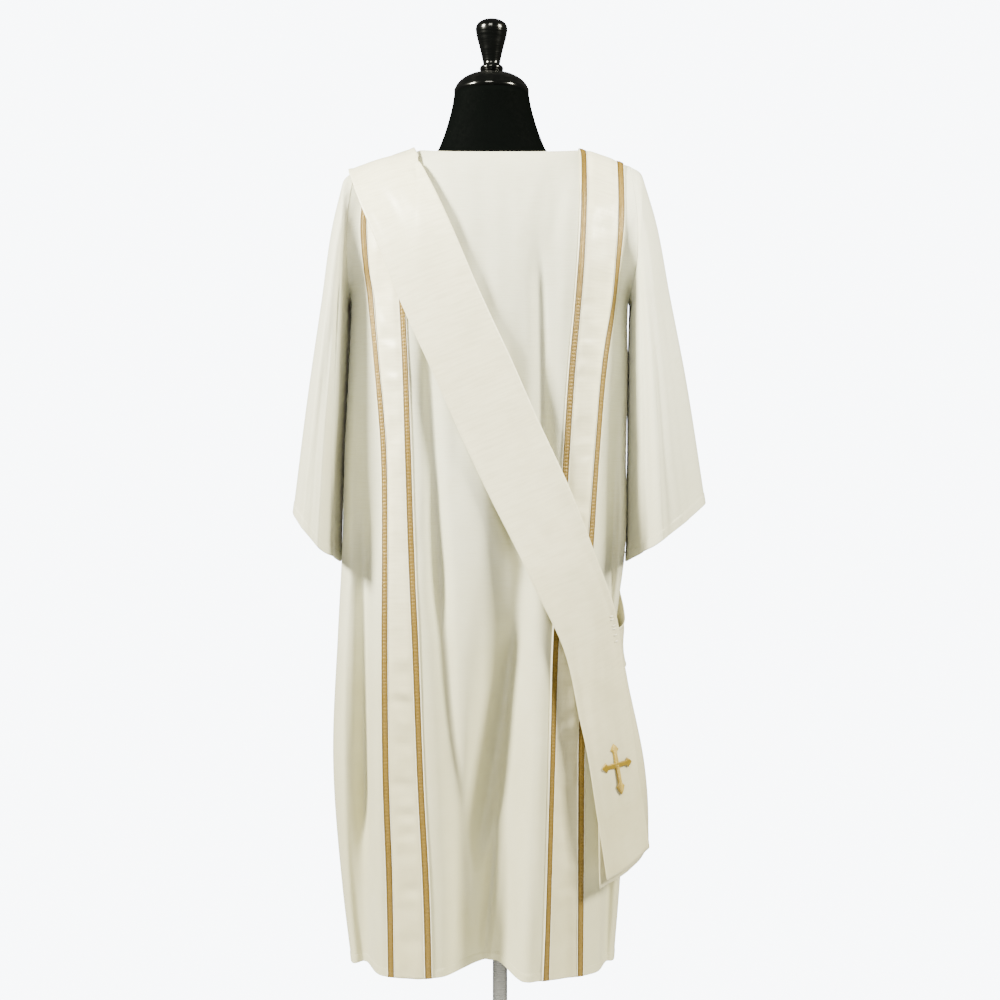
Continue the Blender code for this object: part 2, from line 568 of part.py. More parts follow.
def build_torso(collection):
    """A closed loft through rounded sections, from the flat foot to the top of the neck."""
    rings = []
    for z, half, back, front in TORSO_SECTIONS:
        turn = np.linspace(0.0, 2 * math.pi, TORSO_SEGMENTS, endpoint=False)
        power = 2.0 / TORSO_ROUNDNESS
        x = half * np.sign(np.sin(turn)) * np.abs(np.sin(turn)) ** power
        reach = np.abs(np.cos(turn)) ** power
        y = np.where(np.cos(turn) > 0, -back * reach, front * reach)
        tipped = smooth_step((z - NECK_TILT_FROM_Z) / (NECK_TOP_Z - NECK_TILT_FROM_Z))
        rings.append(np.stack([form_centre_x(z) + x, y, z - y * math.tan(CAP_TILT) * tipped], axis=1))
    mesh = grid_mesh("form_torso", np.array(rings), wraps=True)
    shape = bmesh.new()
    shape.from_mesh(mesh)
    bmesh.ops.holes_fill(shape, edges=shape.edges, sides=0)
    bmesh.ops.recalc_face_normals(shape, faces=shape.faces)
    shape.to_mesh(mesh)
    shape.free()
    add_part(mesh, "form_torso", "black_jersey", collection)


def build_head(collection):
    """The neck's cap and the finial on it, on one axis that tips away from the back."""
    foot = (form_centre_x(NECK_TOP_Z), 0.0, NECK_TOP_Z + LAYER_GAP)
    cap = turned("neck_cap", CAP_PROFILE, "black_gloss", collection)
    cap.location = foot
    cap.rotation_euler = (-CAP_TILT, 0.0, 0.0)
    finial = turned("finial", FINIAL_PROFILE, "black_gloss", collection)
    finial.location = (foot[0], foot[1] + math.sin(CAP_TILT) * FINIAL_FOOT,
                       foot[2] + math.cos(CAP_TILT) * FINIAL_FOOT)
    finial.rotation_euler = (-CAP_TILT, 0.0, 0.0)


def cylinder(name, radius, low, high, segments, material, collection):
    mesh = bpy.data.meshes.new(name)
    shape = bmesh.new()
    bmesh.ops.create_cone(shape, cap_ends=True, segments=segments, radius1=radius, radius2=radius,
                          depth=high - low)
    bmesh.ops.translate(shape, verts=shape.verts, vec=(0.0, 0.0, (low + high) / 2))
    shape.to_mesh(mesh)
    shape.free()
    mesh.shade_smooth()
    mesh.set_sharp_from_angle(angle=math.radians(40))
    return add_part(mesh, name, material, collection)


def build_stand(collection):
    cylinder("pole", POLE_RADIUS, PLATE_THICK + LAYER_GAP, TORSO_FOOT_Z - LAYER_GAP, 24,
             "steel_pole", collection)
    plate = cylinder("foot_plate", PLATE_RADIUS, 0.0, PLATE_THICK, 48, "foot_paint", collection)
    edge = plate.modifiers.new("rounded_edge", "BEVEL")
    edge.width = 0.003
    edge.segments = 2
    edge.limit_method = "ANGLE"


def main():
    clear_scene()
    for name in MATERIALS:
        make_material(name)
    collection = bpy.data.collections.new("dalmatic_on_form")
    bpy.context.scene.collection.children.link(collection)
    for side in ("back", "front"):
        build_panel(side, collection)
    for hand in ("left", "right"):
        build_sleeve(hand, collection)
    build_sash(collection)
    build_torso(collection)
    build_head(collection)
    build_stand(collection)


main()
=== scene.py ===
import math

import bpy
import numpy as np
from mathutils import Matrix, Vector


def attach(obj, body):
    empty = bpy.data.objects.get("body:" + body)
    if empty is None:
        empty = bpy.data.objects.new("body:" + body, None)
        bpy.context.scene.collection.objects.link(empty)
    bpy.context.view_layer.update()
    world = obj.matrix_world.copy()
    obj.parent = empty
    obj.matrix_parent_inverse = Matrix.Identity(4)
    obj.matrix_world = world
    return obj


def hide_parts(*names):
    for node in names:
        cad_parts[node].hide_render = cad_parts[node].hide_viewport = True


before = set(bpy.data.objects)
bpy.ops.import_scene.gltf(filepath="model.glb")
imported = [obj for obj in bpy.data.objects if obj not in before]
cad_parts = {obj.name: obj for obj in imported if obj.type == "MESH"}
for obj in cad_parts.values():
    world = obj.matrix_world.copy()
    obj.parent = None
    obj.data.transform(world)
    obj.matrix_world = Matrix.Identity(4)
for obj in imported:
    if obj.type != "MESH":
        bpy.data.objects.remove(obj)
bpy.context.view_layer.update()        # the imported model, which every piece below is fitted to
print("frame loaded")

# A deacon's dalmatic with its sash stole on a dress form. Metres, +Z up, the wearer's back faces -Y.


# Helpers.
def softStep(f):
    # 3f^2 - 2f^3 between 0 and 1
    f = np.clip(f, 0.0, 1.0)
    return f * f * (3.0 - 2.0 * f)


def bell(f):
    # e to the power of minus f^2: 1 at the middle, falling evenly to both sides
    return np.exp(-f * f)


def tableCurve(names, rows, name, at, key):
    # a smooth curve through one column of a table: a cubic Hermite between the rows of its key column
    keys = np.array([row[names.index(key)] for row in rows])
    values = np.array([row[names.index(name)] for row in rows])
    slopes = np.gradient(values, keys)
    at = np.clip(np.asarray(at, dtype=float), keys[0], keys[-1])
    cell = np.clip(np.searchsorted(keys, at, side="right") - 1, 0, len(keys) - 2)
    step = keys[cell + 1] - keys[cell]
    f = (at - keys[cell]) / step
    return (values[cell] * (2 * f ** 3 - 3 * f ** 2 + 1) + slopes[cell] * step * (f ** 3 - 2 * f ** 2 + f)
            + values[cell + 1] * (3 * f ** 2 - 2 * f ** 3) + slopes[cell + 1] * step * (f ** 3 - f ** 2))


def latticeNoise(u, v, seed):
    # random heights on a square lattice, eased between its points, from -1 to 1
    lattice = np.random.default_rng(seed).uniform(-1.0, 1.0, (97, 97))
    cellU, cellV = np.floor(u).astype(int), np.floor(v).astype(int)
    fu, fv = softStep(u - cellU), softStep(v - cellV)
    a = lattice[cellU % 97, cellV % 97] * (1 - fu) + lattice[(cellU + 1) % 97, cellV % 97] * fu
    b = lattice[cellU % 97, (cellV + 1) % 97] * (1 - fu) + lattice[(cellU + 1) % 97, (cellV + 1) % 97] * fu
    return a * (1 - fv) + b * fv


def gridNormals(points, wraps=False):
    # the cross product of a grid's two directions, made one long
    if wraps:
        across = np.roll(points, -1, axis=1) - np.roll(points, 1, axis=1)
    else:
        across = np.gradient(points, axis=1)
    normals = np.cross(across, np.gradient(points, axis=0))
    return normals / np.maximum(np.linalg.norm(normals, axis=2, keepdims=True), 1e-9)


def gridFaces(rows, columns, wraps, flip):
    # the four corners of every cell of a grid, as whole arrays
    cells = columns if wraps else columns - 1
    row, column = np.meshgrid(np.arange(rows - 1), np.arange(cells), indexing="ij")
    beside = (column + 1) % columns
    a, b = row * columns + column, row * columns + beside
    corners = (a, a + columns, b + columns, b) if flip else (a, b, b + columns, a + columns)
    return np.stack(corners, axis=-1).reshape(-1, 4)


def addPiece(name, points, faces, material, uv=None, smooth=True):
    # one mesh object from an array of points and a list of faces, with its cut coordinates if given
    mesh = bpy.data.meshes.new(name)
    mesh.from_pydata(points.reshape(-1, 3).tolist(), [], faces if isinstance(faces, list) else faces.tolist())
    if uv is not None:
        layer = mesh.uv_layers.new(name="cut")
        corner = np.empty(len(mesh.loops), dtype=np.int32)
        mesh.loops.foreach_get("vertex_index", corner)
        layer.data.foreach_set("uv", uv.reshape(-1, 2)[corner].astype(np.float32).ravel())
    mesh.materials.append(material)
    mesh.update()
    if smooth:
        mesh.shade_smooth()
    piece = bpy.data.objects.new(name, mesh)
    bpy.context.scene.collection.objects.link(piece)
    return piece


def clothCut(points, wraps=False):
    # metres along the cloth: the mean run of the rows across, and of the columns along
    def run(steps, axis):
        # a running sum of the mean step
        lengths = np.linalg.norm(steps, axis=2).mean(axis=axis)
        return np.concatenate([[0.0], np.cumsum(lengths)])
    u, v = run(np.diff(points, axis=1), 0), run(np.diff(points, axis=0), 1)
    return np.stack(np.meshgrid(u, v), axis=-1)


def clothPiece(name, points, material, wall, wraps=False, flip=False):
    # a thin shell: the grid is its outer face, and the wall goes inward
    piece = addPiece(name, points, gridFaces(points.shape[0], points.shape[1], wraps, flip), material,
                     clothCut(points))
    shell = piece.modifiers.new("wall", "SOLIDIFY")
    shell.thickness = wall
    shell.offset = -1.0
    return piece


def carriedProfile(name, centre, across, out, profile, material):
    # a closed profile of (across, out) points carried along a path: point = centre + across*a + out*o,
    # with both ends closed by one face
    points = (centre[:, None] + across[:, None] * profile[..., :1] + out[:, None] * profile[..., 1:])
    rows, columns = points.shape[:2]
    faces = gridFaces(rows, columns, True, False).tolist()
    faces.append(list(range(columns - 1, -1, -1)))
    faces.append(list(range((rows - 1) * columns, rows * columns)))
    return addPiece(name, points, faces, material, wrapCut(points))


def wrapCut(points):
    # as clothCut, for a ring whose first column closes the last one
    girth = np.linalg.norm(points[0] - np.roll(points[0], 1, axis=0), axis=1).sum()
    u = np.linspace(0.0, 1.0, points.shape[1]) * girth
    v = np.concatenate([[0.0], np.cumsum(np.linalg.norm(np.diff(points, axis=0), axis=2).mean(axis=1))])
    return np.stack(np.meshgrid(u, v), axis=-1)


# The body's form.
bodyForm = dict(
    hem=0.2925, underarm=1.27, neckPoint=1.499, neckHalf=0.1185, neckCentre=0.001, shoulderFall=0.33,
    armholeReach=0.085, roundness=2.6, seam=0.0004, braidWidth=0.0086,
    neckRoundness=2.6, neckDrop=dict(back=0.017, front=0.052), neckReach=dict(back=0.086, front=0.094),
    seamCalm=0.12, shoulderCalm=(0.985, 0.25), rippleSeed=dict(back=10, front=60),
    facing=dict(back=-1.0, front=1.0),
    names=("z", "left", "leftOuter", "leftInner", "rightInner", "rightOuter", "right", "back", "front"),
    rows=(
        (0.2925, -0.2220, -0.1550, -0.1020, 0.0645, 0.1140, 0.1700, 0.168, 0.160),
        (0.4050, -0.2355, -0.1570, -0.1045, 0.0680, 0.1150, 0.1790, 0.163, 0.158),
        (0.5850, -0.2490, -0.1635, -0.1135, 0.0735, 0.1165, 0.1880, 0.152, 0.154),
        (0.7800, -0.2420, -0.1655, -0.1215, 0.0800, 0.1210, 0.1730, 0.140, 0.148),
        (0.9000, -0.2360, -0.1655, -0.1270, 0.0880, 0.1300, 0.1870, 0.132, 0.146),
        (1.0500, -0.2320, -0.1680, -0.1320, 0.0960, 0.1405, 0.1890, 0.128, 0.142),
        (1.1700, -0.2260, -0.1780, -0.1360, 0.1040, 0.1510, 0.1910, 0.128, 0.142),
        (1.2700, -0.2220, -0.1880, -0.1410, 0.1130, 0.1655, 0.1920, 0.129, 0.140),
        (1.3300, -0.2240, -0.1950, -0.1440, 0.1175, 0.1710, 0.2000, 0.128, 0.134),
        (1.3900, -0.2230, -0.1990, -0.1450, 0.1205, 0.1760, 0.2005, 0.126, 0.128),
        (1.4900, -0.2150, -0.1900, -0.1350, 0.1225, 0.1780, 0.1930, 0.120, 0.118),
    ))

# the big folds first, then the creases between them: where each starts and ends, its depth at both
# ends and the width of each of its flanks; a trough has a negative depth
foldNames = ("topX", "topZ", "bottomX", "bottomZ", "topDepth", "bottomDepth", "leftWidth", "rightWidth")
bodyFolds = dict(
    back=(
        (0.035, 0.960, -0.008, 0.2925, -0.012, -0.082, 0.060, 0.026),
        (0.062, 0.960, 0.040, 0.2925, 0.008, 0.010, 0.018, 0.022),
        (-0.092, 0.920, -0.052, 0.2925, -0.010, -0.004, 0.018, 0.020),
        (-0.205, 1.020, -0.196, 0.2925, -0.014, -0.040, 0.020, 0.014),
        (0.170, 1.060, 0.158, 0.2925, -0.012, -0.036, 0.010, 0.016),
        (-0.104, 1.220, -0.088, 0.900, -0.005, -0.008, 0.016, 0.018),
        (0.058, 1.330, 0.066, 1.000, -0.005, -0.008, 0.016, 0.016)),
    front=(
        (0.015, 1.050, 0.030, 0.2925, -0.010, -0.060, 0.034, 0.050),
        (-0.040, 0.960, -0.046, 0.2925, 0.006, 0.010, 0.024, 0.020),
        (0.096, 0.880, 0.100, 0.2925, -0.006, -0.022, 0.018, 0.024),
        (-0.070, 1.150, -0.078, 0.2925, -0.006, -0.014, 0.020, 0.018),
        (-0.198, 0.980, -0.190, 0.2925, -0.012, -0.036, 0.018, 0.014),
        (0.160, 1.000, 0.152, 0.2925, -0.012, -0.034, 0.012, 0.016)))
bodyCreases = dict(
    back=(
        (0.020, 0.790, -0.022, 0.520, -0.0200, -0.0400, 0.028, 0.014),
        (0.026, 0.860, -0.018, 0.340, -0.0060, -0.0120, 0.010, 0.006),
        (0.046, 0.840, 0.000, 0.400, 0.0060, 0.0080, 0.008, 0.012),
        (-0.088, 0.900, -0.054, 0.420, -0.0090, -0.0180, 0.014, 0.012),
        (-0.197, 0.960, -0.195, 0.560, -0.0140, -0.0220, 0.012, 0.010),
        (-0.104, 1.200, -0.088, 0.880, -0.0080, -0.0140, 0.011, 0.010),
        (0.055, 1.340, 0.064, 1.030, -0.0070, -0.0120, 0.011, 0.009),
        (0.012, 1.200, 0.040, 0.980, -0.0040, -0.0060, 0.012, 0.009),
        (-0.062, 0.760, -0.078, 0.2925, 0.0016, 0.0050, 0.012, 0.016),
        (-0.034, 0.640, -0.036, 0.2925, -0.0012, -0.0060, 0.008, 0.012),
        (0.020, 0.900, 0.026, 0.420, 0.0030, 0.0060, 0.010, 0.012),
        (0.048, 0.560, 0.052, 0.2925, -0.0010, -0.0050, 0.008, 0.009),
        (0.098, 0.620, 0.094, 0.2925, -0.0010, -0.0028, 0.010, 0.012),
        (-0.140, 0.700, -0.132, 0.2925, -0.0010, -0.0034, 0.012, 0.016),
        (-0.176, 0.900, -0.172, 0.400, 0.0020, 0.0030, 0.010, 0.010),
        (-0.222, 0.820, -0.214, 0.330, -0.0020, -0.0050, 0.008, 0.010),
        (0.010, 1.440, 0.030, 1.080, -0.0016, -0.0024, 0.020, 0.016),
        (-0.040, 1.380, -0.052, 1.000, 0.0014, 0.0020, 0.018, 0.020),
        (0.090, 1.300, 0.086, 1.060, 0.0016, 0.0020, 0.010, 0.010),
        (0.178, 1.180, 0.164, 0.820, -0.0050, -0.0130, 0.010, 0.007),
        (-0.206, 1.240, -0.212, 1.000, -0.0030, -0.0040, 0.010, 0.008)),
    front=(
        (0.060, 0.780, 0.070, 0.2925, 0.0014, 0.0060, 0.012, 0.014),
        (-0.012, 0.700, -0.008, 0.2925, -0.0010, -0.0050, 0.010, 0.012),
        (-0.120, 0.740, -0.124, 0.2925, -0.0012, -0.0040, 0.014, 0.014),
        (0.130, 0.760, 0.128, 0.2925, 0.0010, 0.0036, 0.010, 0.012),
        (-0.030, 1.340, -0.010, 0.980, -0.0020, -0.0030, 0.018, 0.018),
        (0.070, 1.300, 0.060, 0.960, 0.0016, 0.0024, 0.016, 0.016),
        (-0.160, 1.180, -0.168, 0.860, -0.0026, -0.0040, 0.012, 0.012),
        (-0.214, 0.860, -0.206, 0.340, -0.0020, -0.0050, 0.010, 0.010)))
# drag lines that slant down from the armholes and the neck: their two ends, depth and half width
dragNames = ("x1", "z1", "x2", "z2", "depth", "width")
dragLines = dict(
    back=(
        (-0.014, 0.985, 0.036, 0.870, -0.0090, 0.012),
        (-0.160, 1.400, -0.176, 1.250, -0.0030, 0.007),
        (-0.150, 1.340, -0.158, 1.240, 0.0020, 0.006),
        (0.196, 1.420, 0.178, 1.300, -0.0040, 0.008),
        (-0.205, 1.330, -0.150, 1.210, -0.0030, 0.009),
        (-0.196, 1.300, -0.168, 1.150, 0.0022, 0.009),
        (-0.158, 1.370, -0.172, 1.290, 0.0016, 0.006),
        (-0.166, 1.350, -0.150, 1.250, -0.0012, 0.005),
        (0.190, 1.330, 0.150, 1.200, -0.0028, 0.010),
        (0.186, 1.290, 0.166, 1.130, 0.0020, 0.009),
        (0.100, 1.460, 0.070, 1.330, -0.0018, 0.010),
        (0.060, 1.455, 0.030, 1.350, 0.0012, 0.010),
        (-0.090, 1.010, -0.118, 0.880, -0.0020, 0.010),
        (0.120, 0.700, 0.104, 0.540, -0.0022, 0.008)),
    front=(
        (0.198, 1.330, 0.130, 1.190, -0.0034, 0.011),
        (0.190, 1.300, 0.160, 1.120, 0.0024, 0.010),
        (-0.214, 1.330, -0.150, 1.200, -0.0030, 0.010),
        (0.100, 1.440, 0.060, 1.300, -0.0022, 0.011),
        (-0.096, 1.450, -0.050, 1.320, 0.0018, 0.010)))


def bodyLine(name, z):
    # one column of the body table at the heights z, smoothly joined between its rows
    return tableCurve(bodyForm["names"], bodyForm["rows"], name, z, "z")


def neckShare(x):
    # 1 at the centre of the neck opening, falling to 0 at its side points
    s = np.clip(np.abs(x - bodyForm["neckCentre"]) / bodyForm["neckHalf"], 0.0, 1.0)
    return np.sqrt(1.0 - s ** bodyForm["neckRoundness"])


def topEdge(side, x):
    # the top edge's height: the neck's dip, then the falling shoulder seam
    beyond = np.maximum(np.abs(x - bodyForm["neckCentre"]) - bodyForm["neckHalf"], 0.0)
    dip = bodyForm["neckDrop"][side] * neckShare(x)
    return bodyForm["neckPoint"] - bodyForm["shoulderFall"] * beyond - dip


def foldSum(table, x, z):
    # each fold is a bell across its line, deepening from its top to its bottom, with a soft start
    total = np.zeros_like(x)
    for row in table:
        f = dict(zip(foldNames, row))
        down = (f["topZ"] - z) / (f["topZ"] - f["bottomZ"])
        line = f["topX"] + (f["bottomX"] - f["topX"]) * np.clip(down, -0.2, 1.2)
        depth = f["topDepth"] + (f["bottomDepth"] - f["topDepth"]) * np.clip(down, 0.0, 1.0)
        last = 1.0 if f["bottomZ"] <= bodyForm["hem"] else 1.0 - softStep((down - 1.0) / 0.35)
        width = np.where(x < line, f["leftWidth"], f["rightWidth"])
        total = total + depth * softStep(0.4 + down / 0.35) * last * bell((x - line) / width)
    return total


def dragSum(table, x, z):
    # a bell across each slanting line, fading out past both its ends
    total = np.zeros_like(x)
    for row in table:
        d = dict(zip(dragNames, row))
        runX, runZ = d["x2"] - d["x1"], d["z2"] - d["z1"]
        length = math.hypot(runX, runZ)
        along = ((x - d["x1"]) * runX + (z - d["z1"]) * runZ) / length ** 2
        off = ((x - d["x1"]) * runZ - (z - d["z1"]) * runX) / length
        total = total + d["depth"] * softStep(1.0 - np.abs(along - 0.5) / 0.8) * bell(off / d["width"])
    return total


rippleValues = dict(fluteWidth=0.046, fluteLength=0.50, flute=0.0052, midWidth=0.021, midLength=0.22,
                    mid=0.0016, smallWidth=0.009, smallLength=0.05, small=0.00022)


def ripple(x, z, seed):
    # three sizes of uneven flutes, each much longer than it is wide
    r = rippleValues
    lean = 0.05 * latticeNoise(x * 3.0 + 40, z * 1.5 + 40, seed + 5)
    total = r["flute"] * latticeNoise((x + lean) / r["fluteWidth"] + 31, z / r["fluteLength"] + 7, seed)
    middle = latticeNoise((x + lean) / r["midWidth"] + 47, z / r["midLength"] + 11, seed + 1)
    total = total + r["mid"] * middle
    return total + r["small"] * latticeNoise(x / r["smallWidth"] + 60, z / r["smallLength"] + 3, seed + 2)


def bodyReach(side, x, z, grow, folded):
    # how far the body stands from the seam plane: a rounded section rolled in over the shoulder and
    # blended with the armhole's swell, plus the folds where they are asked for
    left, right = bodyLine("left", z), bodyLine("right", z)
    off = np.abs(2 * x - left - right)
    s = np.clip(off / (right - left + 2 * grow), 0.0, 1.0)
    ownS = np.clip(off / (right - left), 0.0, 1.0)
    n = bodyForm["roundness"]
    section = (bodyLine(side, z) + 0.15 * grow) * (1.0 - s ** n) ** (1 / n)
    up = np.clip((z - bodyForm["underarm"]) / (topEdge(side, x) - bodyForm["underarm"]), 0.0, 1.0)
    neck = bodyForm["neckReach"][side] * neckShare(x)
    swell = bodyForm["armholeReach"] * 2.0 * np.sqrt(up * (1.0 - up)) * ownS ** 2
    roll = np.sqrt(1.0 - up ** 3)
    reach = section * roll + neck * softStep(up * 2) * (1.0 - roll)
    if folded:
        inside = softStep((1.0 - s) / bodyForm["seamCalm"])
        reach = reach + foldSum(bodyFolds[side], x, z) * inside
        fine = foldSum(bodyCreases[side], x, z) + dragSum(dragLines[side], x, z)
        calmFrom, calmOver = bodyForm["shoulderCalm"]
        fine = fine + ripple(x, z, bodyForm["rippleSeed"][side]) * softStep((calmFrom - up) / calmOver)
        reach = reach + fine * inside
    return (np.maximum(reach, 0.0) ** 4 + swell ** 4) ** 0.25


def bodyRows(skirt, yoke):
    # row heights of the skirt, then fractions of the yoke's height that close up towards the top
    skirtZ = np.linspace(bodyForm["hem"], bodyForm["underarm"], skirt + 1)
    up = 1.0 - (1.0 - np.linspace(0.0, 1.0, yoke + 1)[1:]) ** 2
    z = np.concatenate([skirtZ, bodyForm["underarm"] + (bodyForm["neckPoint"] - bodyForm["underarm"]) * up])
    return z, np.concatenate([np.zeros(skirt + 1), up])


def onBody(side, x, rowZ, up):
    # the outer face of the cloth at each x of each row
    lifted = bodyForm["underarm"] + (topEdge(side, x) - bodyForm["underarm"]) * up[:, None]
    z = np.where(up[:, None] > 0.0, lifted, rowZ[:, None])
    reach = np.maximum(bodyReach(side, x, z, 0.0, True), bodyForm["seam"])
    lift = np.clip(-foldSum(bodyFolds[side], x, z), 0.0, 1.0) * 0.16
    z = z + lift * softStep((bodyForm["hem"] + 0.25 - z) / 0.25)
    return np.stack([x, bodyForm["facing"][side] * reach, z], axis=2)


def bodyNormals(side, points):
    # outward normals, kept level with the seam planes along the shoulder and side seams
    normals = gridNormals(points) * (1.0 if side == "back" else -1.0)
    onSeam = np.abs(points[:, :, 1]) <= bodyForm["seam"] * 1.01
    normals[:, :, 1] = np.where(onSeam, 0.0, normals[:, :, 1])
    return normals / np.linalg.norm(normals, axis=2, keepdims=True)


# Materials.
def inputOf(node, name):
    # the enabled socket of that name
    return next(s for s in node.inputs if s.name == name and s.enabled)


def outputOf(node, name):
    # the enabled output of that name
    return next(s for s in node.outputs if s.name == name and s.enabled)


class Wires:
    # a small helper that adds nodes to one tree and joins their sockets

    def __init__(self, tree):
        self.tree = tree

    def put(self, kind, values=None, **settings):
        # a new node with its settings, then each input joined to a socket or given a value
        node = self.tree.nodes.new(kind)
        for key, value in settings.items():
            setattr(node, key, value)
        for name, value in (values or {}).items():
            socket = inputOf(node, name) if isinstance(name, str) else node.inputs[name]
            if isinstance(value, bpy.types.NodeSocket):
                self.tree.links.new(value, socket)
            else:
                socket.default_value = value
        return node

    def value(self, operation, a, b=0.0, c=0.0):
        # one step of arithmetic
        return self.put("ShaderNodeMath", {0: a, 1: b, 2: c}, operation=operation).outputs[0]

    def mixColour(self, share, a, b):
        # a where the share is 0 and b where it is 1
        node = self.put("ShaderNodeMix", {"Factor": share, "A": a, "B": b}, data_type="RGBA",
                        clamp_factor=True)
        return outputOf(node, "Result")

    def cutPlace(self):
        # metres on the flat cut
        return self.put("ShaderNodeUVMap", uv_map="cut").outputs[0]

    def objectPlace(self):
        # metres in the frame
        return self.put("ShaderNodeTexCoord").outputs["Object"]

    def drawnNoise(self, place, scale, detail):
        # noise drawn out along one way of the cloth
        drawn = self.put("ShaderNodeMapping", {"Vector": place, "Scale": scale})
        return self.put("ShaderNodeTexNoise", {"Vector": drawn.outputs[0], "Scale": 1.0, "Detail": detail})

    def bumpInto(self, shader, strength, distance, height):
        # the height in metres times the distance, turned into the shader's normal
        bump = self.put("ShaderNodeBump", {"Strength": strength, "Distance": distance, "Height": height})
        self.tree.links.new(bump.outputs[0], shader.inputs["Normal"])

    def spread(self, value, low, high, toLow, toHigh):
        # the span from low to high carried over to the span from toLow to toHigh, and held at its ends
        return self.put("ShaderNodeMapRange", {"Value": value, "From Min": low, "From Max": high,
                                               "To Min": toLow, "To Max": toHigh}).outputs[0]


def newGroup(name, inputs, outputs):
    # an empty node group with named sockets, and its wires, input node and output node
    group = bpy.data.node_groups.new(name, "ShaderNodeTree")
    for label, kind, start in inputs:
        socket = group.interface.new_socket(name=label, in_out="INPUT", socket_type=kind)
        if start is not None:
            socket.default_value = start
    for label, kind in outputs:
        group.interface.new_socket(name=label, in_out="OUTPUT", socket_type=kind)
    wires = Wires(group)
    return group, wires, wires.put("NodeGroupInput"), wires.put("NodeGroupOutput")


def makeWeaveGroup():
    # crossed threads on the cut's own metres: two waves multiplied, with slubs along the threads
    group, w, given, made = newGroup(
        "weave", (("Threads", "NodeSocketFloat", 900.0), ("Depth", "NodeSocketFloat", 0.0001)),
        (("Height", "NodeSocketFloat"), ("Slub", "NodeSocketFloat")))
    cut = w.cutPlace()
    parts = w.put("ShaderNodeSeparateXYZ", {0: cut})
    turns = w.value("MULTIPLY", given.outputs["Threads"], 2 * math.pi)
    warp = w.value("SINE", w.value("MULTIPLY", parts.outputs[0], turns))
    weft = w.value("SINE", w.value("MULTIPLY", parts.outputs[1], turns))
    slub = w.drawnNoise(cut, (30.0, 700.0, 1.0), 3.0)
    height = w.value("MULTIPLY_ADD", w.value("MULTIPLY", warp, weft), 0.5, slub.outputs[0])
    w.tree.links.new(w.value("MULTIPLY", height, given.outputs["Depth"]), made.inputs["Height"])
    w.tree.links.new(slub.outputs[0], made.inputs["Slub"])
    return group


def makeToneAndShadeGroup():
    # slow drift in tone over the whole piece, small soft marks, and painted shade that deepens from 1.30 m
    # down to 0.30 m, all from object coordinates
    group, w, given, made = newGroup(
        "toneDriftAndPaintedShade", (("Light", "NodeSocketColor", (1, 1, 1, 1)), ("Dark", "NodeSocketColor", (1, 1, 1, 1)),
                      ("Amount", "NodeSocketFloat", 1.0)),
        (("Colour", "NodeSocketColor"), ("Mask", "NodeSocketFloat")))
    place = w.objectPlace()
    slow = w.put("ShaderNodeTexNoise", {"Vector": place, "Scale": 3.0, "Detail": 4.0, "Roughness": 0.6})
    fine = w.put("ShaderNodeTexNoise", {"Vector": place, "Scale": 38.0, "Detail": 3.0})
    mask = w.value("ADD", w.spread(slow.outputs[0], 0.35, 0.65, 0.0, 0.75),
                   w.spread(fine.outputs[0], 0.40, 0.70, 0.0, 0.25))
    height = w.put("ShaderNodeSeparateXYZ", {0: place}).outputs[2]
    # painted shade: towards the bottom the colour moves to Dark, standing in for the light that falls off low
    # down
    low = w.put("ShaderNodeMapRange", {"Value": height, "From Min": 1.30, "From Max": 0.30,
                                       "To Min": 0.0, "To Max": 1.0},
                interpolation_type="SMOOTHSTEP").outputs[0]
    share = w.value("MULTIPLY", w.value("MULTIPLY_ADD", low, 0.85, w.value("MULTIPLY", mask, 0.30)),
                    given.outputs["Amount"])
    w.tree.links.new(w.mixColour(share, given.outputs["Light"], given.outputs["Dark"]), made.inputs["Colour"])
    w.tree.links.new(mask, made.inputs["Mask"])
    return group


weaveGroup = makeWeaveGroup()
toneAndShadeGroup = makeToneAndShadeGroup()


def newMaterial(name, base, roughness, metallic=0.0, **fixed):
    material = bpy.data.materials.new(name)
    material.use_nodes = True
    material.diffuse_color = base
    w = Wires(material.node_tree)
    shader = material.node_tree.nodes["Principled BSDF"]
    shader.inputs["Base Color"].default_value = base
    shader.inputs["Roughness"].default_value = roughness
    shader.inputs["Metallic"].default_value = metallic
    for label, value in fixed.items():
        shader.inputs[label.replace("_", " ")].default_value = value
    return material, w, shader


# dark is the colour of the slubs and of the painted shade towards the hem
clothLook = dict(light=(0.710, 0.712, 0.590, 1), dark=(0.500, 0.475, 0.310, 1), threads=620.0, weave=0.00009,
                 bump=0.35, roughness=0.62, sheen=0.18)


def makeClothMaterial(name, look):
    # a crisp plain weave: drifting tone with painted shade towards the hem, a little darker in its slubs,
    # with a soft sheen at its edges
    material, w, shader = newMaterial(name, look["light"], look["roughness"], Sheen_Weight=look["sheen"],
                                      Sheen_Roughness=0.45, Specular_IOR_Level=0.25)
    weave = w.put("ShaderNodeGroup", {"Threads": look["threads"], "Depth": look["weave"]},
                  node_tree=weaveGroup)
    toneAndShade = w.put("ShaderNodeGroup", {"Light": look["light"], "Dark": look["dark"]}, node_tree=toneAndShadeGroup)
    slubShare = w.spread(weave.outputs["Slub"], 0.45, 0.75, 0.0, 0.30)
    colour = w.mixColour(slubShare, toneAndShade.outputs["Colour"], look["dark"])
    w.tree.links.new(colour, shader.inputs["Base Color"])
    rough = w.spread(toneAndShade.outputs["Mask"], 0.0, 1.0, look["roughness"] - 0.05, look["roughness"] + 0.06)
    w.tree.links.new(rough, shader.inputs["Roughness"])
    w.bumpInto(shader, look["bump"], 1.0, weave.outputs["Height"])
    return material


satinLook = dict(light=(0.940, 0.900, 0.680, 1), dark=(0.520, 0.480, 0.300, 1), roughness=0.36,
                 floats=0.00012, bump=0.40)


